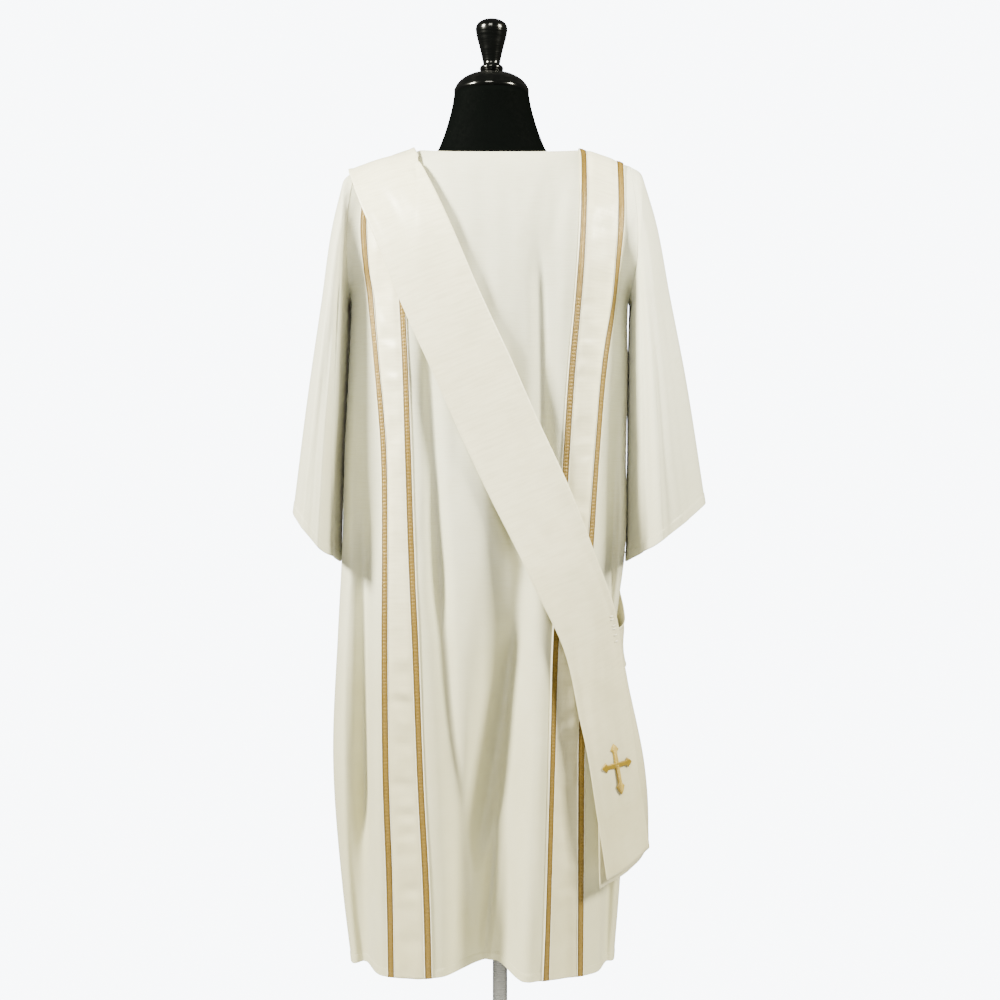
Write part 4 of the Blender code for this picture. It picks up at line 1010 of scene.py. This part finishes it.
# The sash stole.
sashCloth = dict(
    columns=34, rows=270, wall=0.0012, ripple=0.0017, edgeStep=0.0004, edgeDepth=0.006,
    curl=0.0050, curlWidth=0.0100, curlStart=0.76,
    names=("along", "lowerAngle", "lowerZ", "upperAngle", "upperZ", "clear", "grow"),
    back=(
        (0.00, -64.4, 1.4640, -30.0, 1.4985, 0.0052, 0.030),
        (0.10, -45.5, 1.3650, -17.2, 1.3990, 0.0056, 0.030),
        (0.20, -32.2, 1.2600, -6.3, 1.2990, 0.0060, 0.030),
        (0.30, -19.1, 1.1580, 5.5, 1.1990, 0.0064, 0.030),
        (0.40, -7.2, 1.0570, 16.9, 1.0995, 0.0070, 0.030),
        (0.50, 4.5, 0.9570, 29.1, 0.9995, 0.0080, 0.030),
        (0.60, 17.2, 0.8590, 40.5, 0.8980, 0.0110, 0.030),
        (0.70, 31.2, 0.7580, 55.1, 0.7930, 0.0150, 0.030),
        (0.80, 35.6, 0.6505, 58.6, 0.6870, 0.0170, 0.030),
        (0.90, 39.8, 0.5410, 60.9, 0.5780, 0.0180, 0.030),
        (1.00, 45.5, 0.4330, 69.9, 0.4700, 0.0190, 0.030)),
    front=(
        (0.00, -115.6, 1.4640, -150.0, 1.4985, 0.0052, 0.030),
        (0.10, -133.7, 1.3550, -163.8, 1.3960, 0.0056, 0.030),
        (0.20, -148.0, 1.2480, -175.7, 1.2940, 0.0060, 0.030),
        (0.30, -160.4, 1.1440, -190.1, 1.1930, 0.0060, 0.030),
        (0.40, -172.6, 1.0400, -202.8, 1.0900, 0.0060, 0.028),
        (0.50, -192.7, 0.9380, -218.8, 0.9860, 0.0060, 0.022),
        (0.58, -209.0, 0.8500, -236.4, 0.9050, 0.0060, 0.014),
        (0.65, -232.7, 0.7750, -256.8, 0.8260, 0.0060, 0.007),
        (0.71, -263.0, 0.7350, -283.2, 0.7900, 0.0060, 0.005),
        (0.76, -282.3, 0.7280, -314.6, 0.7850, 0.0060, 0.009),
        (0.81, -287.4, 0.7150, -325.0, 0.7650, 0.0060, 0.014),
        (0.86, -286.0, 0.6400, -320.6, 0.6900, 0.0060, 0.020),
        (1.00, -273.0, 0.4700, -316.2, 0.4200, 0.0060, 0.030)))


def aroundBody(angle, z, grow):
    # a point on the widened body section at an angle: -90 left, 0 back, 90 right, -180 front
    turn = np.radians(angle)
    left, right = bodyLine("left", z) - grow, bodyLine("right", z) + grow
    x = (left + right) / 2 + (right - left) / 2 * np.sin(turn)
    atBack = np.cos(turn) >= 0.0
    reach = np.where(atBack, bodyReach("back", x, z, grow, False), bodyReach("front", x, z, grow, False))
    return np.stack([x, np.where(atBack, -1.0, 1.0) * np.maximum(reach, 0.0006), z], axis=-1)


def sashBase(side, along, across):
    # the sash's outer face and its normals, before its own ripples
    v = sashCloth
    lowerAngle, lowerZ, upperAngle, upperZ, clear, grow = (
        tableCurve(v["names"], v[side], name, along, "along") for name in v["names"][1:])
    angle = lowerAngle + (upperAngle - lowerAngle) * across
    z = lowerZ + (upperZ - lowerZ) * across
    base = aroundBody(angle, z, grow + 0 * across)
    base[0, :, 2] = topEdge(side, base[0, :, 0])
    base[0, :, 1] = bodyForm["facing"][side] * 0.0006
    normals = gridNormals(base) * (-1.0 if side == "back" else 1.0)
    normals[0] = (0.0, 0.0, 1.0)
    return base + normals * (clear + 0.0014)[:, :, None], normals


def sashGrid(side):
    v = sashCloth
    along = (np.linspace(0.0, 1.0, v["rows"] + 1) ** 1.25)[:, None]
    across = np.linspace(0.0, 1.0, v["columns"] + 1)[None, :]
    points, normals = sashBase(side, along, across)
    width = np.linalg.norm(np.diff(points, axis=1), axis=2).sum(axis=1)[:, None]
    length = pathFromBottom(points)
    seed = 150 if side == "back" else 160
    toEdge = np.minimum(across, 1.0 - across) * width
    lean = 0.25 * latticeNoise(length / 0.2 + 4, across * 0 + 3, seed + 5)
    off = v["ripple"] * latticeNoise((across + lean) * 3.2 + 4, length / 0.16 + 3, seed)
    off = off + 0.00060 * latticeNoise((across + lean) * 8.0 + 4, length / 0.05 + 3, seed + 1)
    off = off * softStep(toEdge / 0.012)
    off = off + v["edgeStep"] * (1.0 - softStep((toEdge - v["edgeDepth"]) / 0.003))
    toEnd = pathFromTop(points)
    off = off + turnedEdge(toEnd, 0.012, 0.0005)
    if side == "front":
        # the edge that shows beyond the back half turns up a little
        turned = bell((1.0 - across) * width / v["curlWidth"]) * softStep((along - v["curlStart"]) / 0.08)
        off = off + v["curl"] * turned
    return points + normals * off[:, :, None]


def buildSash(side):
    # one half of the sash with its wall laid on the side of the body
    return clothPiece("stole" + side.capitalize(), sashGrid(side), ivorySatin, sashCloth["wall"],
                      flip=side == "back")


stoles = {side: buildSash(side) for side in ("back", "front")}
print("stole built")


# The embroidered cross.
crossWork = dict(along=0.868, across=0.50, lift=0.0011, dome=0.0013, steps=30,
                 arms=dict(up=0.031, right=0.026, down=0.043, left=0.026),
                 outline=((0.0, 0.0040), (0.52, 0.0036), (0.62, 0.0040), (0.72, 0.0076), (0.77, 0.0060),
                          (0.86, 0.0046), (1.0, 0.0003)))


def crossFrame():
    # where the cross sits on the sash, its upright along the sash
    v = crossWork
    along = np.array([[v["along"] - 0.012], [v["along"]], [v["along"] + 0.012]])
    across = np.array([[v["across"] - 0.05, v["across"], v["across"] + 0.05]])
    points, normals = sashBase("back", np.concatenate([[[0.0]], along]), across)
    up = points[1, 1] - points[3, 1]
    out = normals[2, 1] * (1.0 if normals[2, 1, 1] < 0 else -1.0)
    up = up - out * float(up @ out)
    up = up / np.linalg.norm(up)
    return points[2, 1], np.cross(up, out), up, out


def buildCross():
    # each arm is two domed halves of satin stitch that meet along its middle line
    v = crossWork
    centre, right, up, out = crossFrame()
    table = np.array(v["outline"])
    share = np.linspace(0.0, 1.0, v["steps"])
    half = np.interp(share, table[:, 0], table[:, 1])
    turns = dict(right=0.0, up=0.5 * math.pi, left=math.pi, down=1.5 * math.pi)
    allPoints, allFaces, allUv, sides, start = [], [], [], [], 0
    ring = np.linspace(0.0, math.pi, 9)
    for number, (name, turn) in enumerate(turns.items()):
        reach = v["arms"][name]
        u = (share * reach)[:, None] + 0 * ring[None, :]
        w = half[:, None] * np.cos(ring)[None, :]
        high = v["dome"] * np.minimum(half / 0.0029, 1.0)[:, None] * np.sin(ring)[None, :] ** 0.8
        high = high * (1.0 - 0.35 * bell(w / 0.0006)) * (1.0 - 0.004 * number)
        a = u * math.cos(turn) - w * math.sin(turn)
        b = u * math.sin(turn) + w * math.cos(turn)
        points = centre + a[..., None] * right + b[..., None] * up + (v["lift"] + high)[..., None] * out
        rows, columns = points.shape[:2]
        faces = gridFaces(rows, columns, True, False) + start
        allPoints.append(points.reshape(-1, 3))
        allFaces += faces.tolist()
        allFaces.append([start + i for i in range(columns - 1, -1, -1)])
        allFaces.append([start + (rows - 1) * columns + i for i in range(columns)])
        allUv.append(np.stack([w, u], axis=-1).reshape(-1, 2))
        # painted light and shade for the cross, 0 lit and 1 shaded: the upper arm mostly lit, the bars
        # darker, the lower arm lit on one half and shaded on the other
        isBar = name in ("left", "right")
        shade = np.full(w.shape, 0.62) if isBar else np.clip(0.12 + 0.76 * softStep(0.5 + w * -700.0), 0, 1)
        shade = 1.0 - shade if name == "up" else shade
        sides.append(np.where(name == "up", 0.25 + 0 * w, shade).ravel())
        start += rows * columns
    cross = addPiece("stoleCross", np.concatenate(allPoints), allFaces, crossThread, np.concatenate(allUv))
    mark = cross.data.attributes.new("paintedStitchShade", "FLOAT", "POINT")
    mark.data.foreach_set("value", np.concatenate(sides).astype(np.float32))
    return cross


stoleCross = buildCross()
print("cross built")


# The dress form.
dressForm = dict(
    lean=-0.008, roundness=2.3, tiltFrom=1.50, neckTop=1.581, tilt=math.radians(5.0), columns=96, rows=110,
    names=("z", "halfWidth", "back", "front"),
    rowsTable=(
        (0.790, 0.158, 0.098, 0.100), (0.860, 0.164, 0.104, 0.104), (0.960, 0.150, 0.094, 0.098),
        (1.050, 0.134, 0.084, 0.092), (1.150, 0.146, 0.092, 0.104), (1.250, 0.162, 0.100, 0.112),
        (1.340, 0.174, 0.100, 0.100), (1.400, 0.174, 0.093, 0.084), (1.440, 0.160, 0.084, 0.072),
        (1.468, 0.122, 0.070, 0.056), (1.490, 0.088, 0.062, 0.053), (1.515, 0.074, 0.059, 0.054),
        (1.535, 0.067, 0.057, 0.055), (1.560, 0.060, 0.056, 0.056), (1.581, 0.0562, 0.0562, 0.0562)),
    seamPull=0.008, seamTurn=0.05)


def buildForm():
    # rounded sections from the flat foot to the neck, which tips to meet its cap; seams run up it
    v = dressForm
    z = np.linspace(v["rowsTable"][0][0], v["neckTop"], v["rows"])[:, None]
    half, back, front = (tableCurve(v["names"], v["rowsTable"], n, z, "z") for n in v["names"][1:])
    turn = np.linspace(0.0, 2 * math.pi, v["columns"], endpoint=False)[None, :]
    power = 2.0 / v["roundness"]
    x = half * np.sign(np.sin(turn)) * np.abs(np.sin(turn)) ** power
    reach = np.abs(np.cos(turn)) ** power
    y = np.where(np.cos(turn) > 0, -back * reach, front * reach)
    for seam in (0.0, math.pi / 2, math.pi, 1.5 * math.pi):
        away = np.angle(np.exp(1j * (turn - seam)))
        pull = 1.0 - v["seamPull"] * bell(away / v["seamTurn"])
        x, y = x * pull, y * pull
    tipped = softStep((z - v["tiltFrom"]) / (v["neckTop"] - v["tiltFrom"]))
    points = np.stack([v["lean"] * z + x, y, z - y * math.tan(v["tilt"]) * tipped], axis=2)
    rows, columns = points.shape[:2]
    faces = gridFaces(rows, columns, True, False).tolist()
    faces.append(list(range(columns - 1, -1, -1)))
    faces.append(list(range((rows - 1) * columns, rows * columns)))
    return addPiece("formTorso", points, faces, jersey, wrapCut(points))


formTorso = buildForm()

headTurning = dict(
    steps=96,
    cap=((0.0, 0.0350), (0.009, 0.0347), (0.018, 0.0335), (0.027, 0.0313), (0.036, 0.0281), (0.043, 0.0243),
         (0.0490, 0.0196), (0.0528, 0.0150), (0.0546, 0.0115), (0.0552, 0.0090), (0.0562, 0.0082),
         (0.0562, 0.0004), (0.0555, 0.0), (0.0, 0.0)),
    finial=((0.0, 0.0815), (0.005, 0.0813), (0.010, 0.0806), (0.0145, 0.0794), (0.0185, 0.0772),
            (0.0215, 0.0745), (0.0233, 0.0712), (0.0240, 0.0675), (0.0238, 0.0640), (0.0230, 0.0590),
            (0.0214, 0.0515), (0.0190, 0.0430), (0.0166, 0.0330), (0.0144, 0.0230), (0.0131, 0.0165),
            (0.0124, 0.0130), (0.0128, 0.0116), (0.0150, 0.0104), (0.0170, 0.0086), (0.0178, 0.0062),
            (0.0172, 0.0036), (0.0158, 0.0022), (0.0152, 0.0), (0.0, 0.0)),
    finialFoot=0.0353, lift=0.0003)


def turnedPiece(name, profile, height, material):
    # a profile spun round the form's tilted axis, with one point at each pole
    steps = headTurning["steps"]
    table = np.array(profile[1:-1])
    turn = np.linspace(0.0, 2 * math.pi, steps, endpoint=False)
    ring = np.stack([table[:, :1] * np.cos(turn), table[:, :1] * np.sin(turn),
                     table[:, 1:] + 0 * turn[None, :]], axis=2)
    flat = ring.reshape(-1, 3)
    poles = np.array([[0.0, 0.0, profile[0][1]], [0.0, 0.0, profile[-1][1]]])
    points = np.concatenate([flat, poles])
    points[:, 2] += height
    rows = len(table)
    i = np.arange(steps)
    beside = (i + 1) % steps
    top, foot = len(flat), len(flat) + 1
    faces = gridFaces(rows, steps, True, True).tolist()
    faces += np.stack([i, beside, 0 * i + top], axis=1).tolist()
    low = (rows - 1) * steps
    faces += np.stack([low + beside, low + i, 0 * i + foot], axis=1).tolist()
    tilt = dressForm["tilt"]
    y = points[:, 1] * math.cos(tilt) + points[:, 2] * math.sin(tilt)
    z = -points[:, 1] * math.sin(tilt) + points[:, 2] * math.cos(tilt)
    centre = dressForm["lean"] * dressForm["neckTop"]
    points = np.stack([points[:, 0] + centre, y, z + dressForm["neckTop"] + headTurning["lift"]], axis=1)
    return addPiece(name, points, faces, material)


neckCap = turnedPiece("neckCap", headTurning["cap"], 0.0, blackGloss)
finial = turnedPiece("turnedFinial", headTurning["finial"], headTurning["finialFoot"], blackGloss)
print("form built")


# Stitching.
stitchWork = dict(length=0.0026, gap=0.0016, radius=0.00022, high=0.00012)


def stitchMesh(name, runs, material, length=None, gap=None, radius=None):
    # short four-sided stitches laid end to end along each run: a run is (points, normals)
    length = length or stitchWork["length"]
    gap = gap or stitchWork["gap"]
    radius = radius or stitchWork["radius"]
    allPoints, allFaces, start = [], [], 0
    for points, normals in runs:
        run = np.concatenate([[0.0], np.cumsum(np.linalg.norm(np.diff(points, axis=0), axis=1))])
        count = int(run[-1] / (length + gap))
        if count < 1:
            continue
        at = np.arange(count) * (length + gap)

        def on(where, values):
            return np.stack([np.interp(where, run, values[:, i]) for i in range(3)], axis=1)

        a, b, m = on(at, points), on(at + length, points), on(at + length / 2, points)
        out = on(at + length / 2, normals)
        out = out / np.linalg.norm(out, axis=1, keepdims=True)
        forward = (b - a) / np.maximum(np.linalg.norm(b - a, axis=1, keepdims=True), 1e-9)
        side = np.cross(forward, out) * radius
        rise = out * radius
        sets = []
        for place, size, up in ((a, 0.35, 0.0), (m, 1.0, 1.0), (b, 0.35, 0.0)):
            middle = place + out * (stitchWork["high"] + up * radius * 0.8)
            sets.append(np.stack([middle + side * size, middle + rise * size, middle - side * size,
                                  middle - rise * size], axis=1))
        block = np.stack(sets, axis=1).reshape(-1, 3)
        base = (start + np.arange(count) * 12)[:, None]
        quads = []
        for ring in (0, 4):
            for i in range(4):
                j = (i + 1) % 4
                quads.append([ring + i, ring + 4 + i, ring + 4 + j, ring + j])
        quads.append([0, 1, 2, 3])
        quads.append([11, 10, 9, 8])
        faces = (base[:, :, None] + np.array(quads)[None]).reshape(-1, 4)
        allPoints.append(block)
        allFaces.append(faces)
        start += len(block)
    return addPiece(name, np.concatenate(allPoints), np.concatenate(allFaces), material)


def hemRun(side, depth):
    # the hem's stitch line on the finished panel, where its distance from the edge is the hem's depth
    points = panelGrids[side]
    normals = bodyNormals(side, points)
    row = int(np.argmin(np.abs(pathFromBottom(points)[:, 80] - depth)))
    return points[row, 2:-2], normals[row, 2:-2]


def neckRun(side, depth):
    # the neck's stitch line: in each column near the neck, the row nearest to the depth below the edge
    points = panelGrids[side]
    normals = bodyNormals(side, points)
    fromTop = pathFromTop(points)
    x = points[-1, :, 0]
    columns = np.where(neckShare(x) > 0.30)[0]
    rows = np.argmin(np.abs(fromTop[:, columns] - depth), axis=0)
    return points[rows, columns], normals[rows, columns]


def cuffRun(hand, depth):
    # the cuff's stitch line: the ring nearest to the depth above the cuff's edge, closed on itself
    points = sleeveGrid(hand, sleeveCloth)
    normals = gridNormals(points, wraps=True) * (1.0 if hand == "right" else -1.0)
    row = int(np.argmin(np.abs(pathFromTop(points)[:, 10] - depth)))
    return np.concatenate([points[row], points[row, :1]]), np.concatenate([normals[row], normals[row, :1]])


stitchRuns = {side: [hemRun(side, panelCloth["hemDepth"]), neckRun(side, panelCloth["neckDepth"])]
              for side in ("back", "front")}
stitchRuns["left"] = [cuffRun("left", sleeveCloth["cuffDepth"])]
stitchRuns["right"] = [cuffRun("right", sleeveCloth["cuffDepth"])]
stitches = {key: stitchMesh("stitches" + key.capitalize(), runs, creamThread)
            for key, runs in stitchRuns.items()}


tackWork = dict(rows=(199, 200, 202, 203, 205, 207), columns=(29, 35), length=0.0080, gap=0.0004,
                radius=0.0011)


def buildTack():
    # thick stitches over the edge of the sash, where its two halves are caught together
    points = sashGrid("back")
    normals = -gridNormals(points)
    v = tackWork
    edge = slice(*v["columns"])
    runs = [(points[row, edge], normals[row, edge]) for row in v["rows"]]
    return stitchMesh("hipTack", runs, creamThread, length=v["length"], gap=v["gap"], radius=v["radius"])


hipTack = buildTack()
print("stitches built")


# The pole and the foot plate.
def finishStand():
    # the frame's own pole and plate keep their shape and take better finishes
    for name, material in (("pole", steelPole), ("foot_plate", footPaint)):
        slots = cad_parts[name].material_slots
        for slot in slots:
            slot.material = material


finishStand()


# What each piece stands for.
def place(piece, slotName, *nodes):
    # a piece rides on the root body, and may stand for nodes of the frame
    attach(piece, "root")
    if nodes:
        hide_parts(*nodes)


place(backPanel, "ivory_cloth", "back_panel")
place(frontPanel, "ivory_cloth", "front_panel")
for hand in ("left", "right"):
    place(sleeves[hand], "ivory_cloth", "sleeve_" + hand)
for (side, hand), band in bands.items():
    place(band, "ivory_satin", "band_" + side + "_" + hand)
for (side, hand, edge), braid in braids.items():
    place(braid, "gold_braid", "braid_" + side + "_" + hand + "_" + edge)
for side in ("back", "front"):
    place(stoles[side], "ivory_satin", "stole_" + side)
    place(pipings[side], "ivory_satin")
place(stoleCross, "gold_embroidery", "stole_cross")
place(formTorso, "black_jersey", "form_torso")
place(neckCap, "black_gloss", "neck_cap")
place(finial, "black_gloss", "finial")
for stitching in stitches.values():
    place(stitching, "ivory_cloth")
place(hipTack, "ivory_cloth")


# Stage, light and camera.
stageLook = dict(floorRadius=0.86, colour=(0.86, 0.87, 0.88, 1), worldColour=(1.0, 0.97, 0.86, 1),
                 worldStrength=0.10, paperColour=(0.900, 0.945, 1.0, 1), paperStrength=9.5)


def buildStage():
    # a round pale floor: rings of points out from its middle
    v = stageLook
    radius = np.linspace(0.02, v["floorRadius"], 12)[:, None]
    turn = np.linspace(0.0, 2 * math.pi, 96, endpoint=False)[None, :]
    ring = np.stack([radius * np.cos(turn), radius * np.sin(turn), 0 * radius * turn], axis=2)
    faces = gridFaces(12, 96, True, True).tolist()
    faces.append(list(range(96)))
    material, w, shader = newMaterial("paper", v["colour"], 0.85)
    spots = w.put("ShaderNodeTexNoise", {"Vector": w.objectPlace(),
                                         "Scale": 2.0, "Detail": 2.0})
    w.tree.links.new(w.mixColour(w.spread(spots.outputs[0], 0.3, 0.7, 0.0, 0.5), v["colour"],
                                 (0.82, 0.83, 0.84, 1)), shader.inputs["Base Color"])
    floor = addPiece("studioFloor", ring, faces, material)
    return floor


studioFloor = buildStage()


def buildWorld():
    # the paper behind the form is bright to the eye, and gives only a soft even light to the cloth
    world = bpy.data.worlds.new("studio")
    world.use_nodes = True
    bpy.context.scene.world = world
    tree = world.node_tree
    w = Wires(tree)
    soft = tree.nodes["Background"]
    soft.inputs["Color"].default_value = stageLook["worldColour"]
    soft.inputs["Strength"].default_value = stageLook["worldStrength"]
    paper = w.put("ShaderNodeBackground", {"Color": stageLook["paperColour"],
                                           "Strength": stageLook["paperStrength"]})
    seen = w.put("ShaderNodeLightPath").outputs["Is Camera Ray"]
    mix = w.put("ShaderNodeMixShader", {0: seen, 1: soft.outputs[0], 2: paper.outputs[0]})
    tree.links.new(mix.outputs[0], tree.nodes["World Output"].inputs["Surface"])


buildWorld()

lampTable = (
    # name, place, aim, width, height, power, colour
    ("key", (-2.45, -1.30, 2.70), (0.0, 0.0, 1.35), 0.7, 0.7, 540.0, (1.0, 0.975, 0.82)),
    ("right", (2.50, -1.25, 2.60), (0.0, 0.0, 1.35), 0.7, 0.8, 340.0, (1.0, 0.970, 0.78)),
    ("front", (-0.40, -2.60, 3.10), (0.0, 0.0, 1.30), 1.0, 0.8, 80.0, (1.0, 0.975, 0.84)))


def aimed(thing, at, target):
    # -Z looks at the target and Y stays up
    direction = Vector(target) - Vector(at)
    thing.location = at
    thing.rotation_euler = direction.to_track_quat("-Z", "Y").to_euler()


def buildLamps():
    # one rectangular lamp for each line of the table, aimed at its target
    for name, at, target, width, height, power, colour in lampTable:
        lamp = bpy.data.lights.new(name, "AREA")
        lamp.shape = "RECTANGLE"
        lamp.size = width
        lamp.size_y = height
        lamp.energy = power
        lamp.color = colour
        thing = bpy.data.objects.new(name, lamp)
        bpy.context.scene.collection.objects.link(thing)
        aimed(thing, at, target)


buildLamps()


def buildCamera():
    # a long lens held level behind the wearer
    lens = bpy.data.cameras.new("camera")
    lens.lens = 72.0
    lens.sensor_width = 36.0
    lens.clip_end = 60.0
    camera = bpy.data.objects.new("camera", lens)
    bpy.context.scene.collection.objects.link(camera)
    aimed(camera, (0.0, -3.0, 0.975), (0.0, 0.0, 0.975))
    bpy.context.scene.camera = camera


buildCamera()
print("stage built")
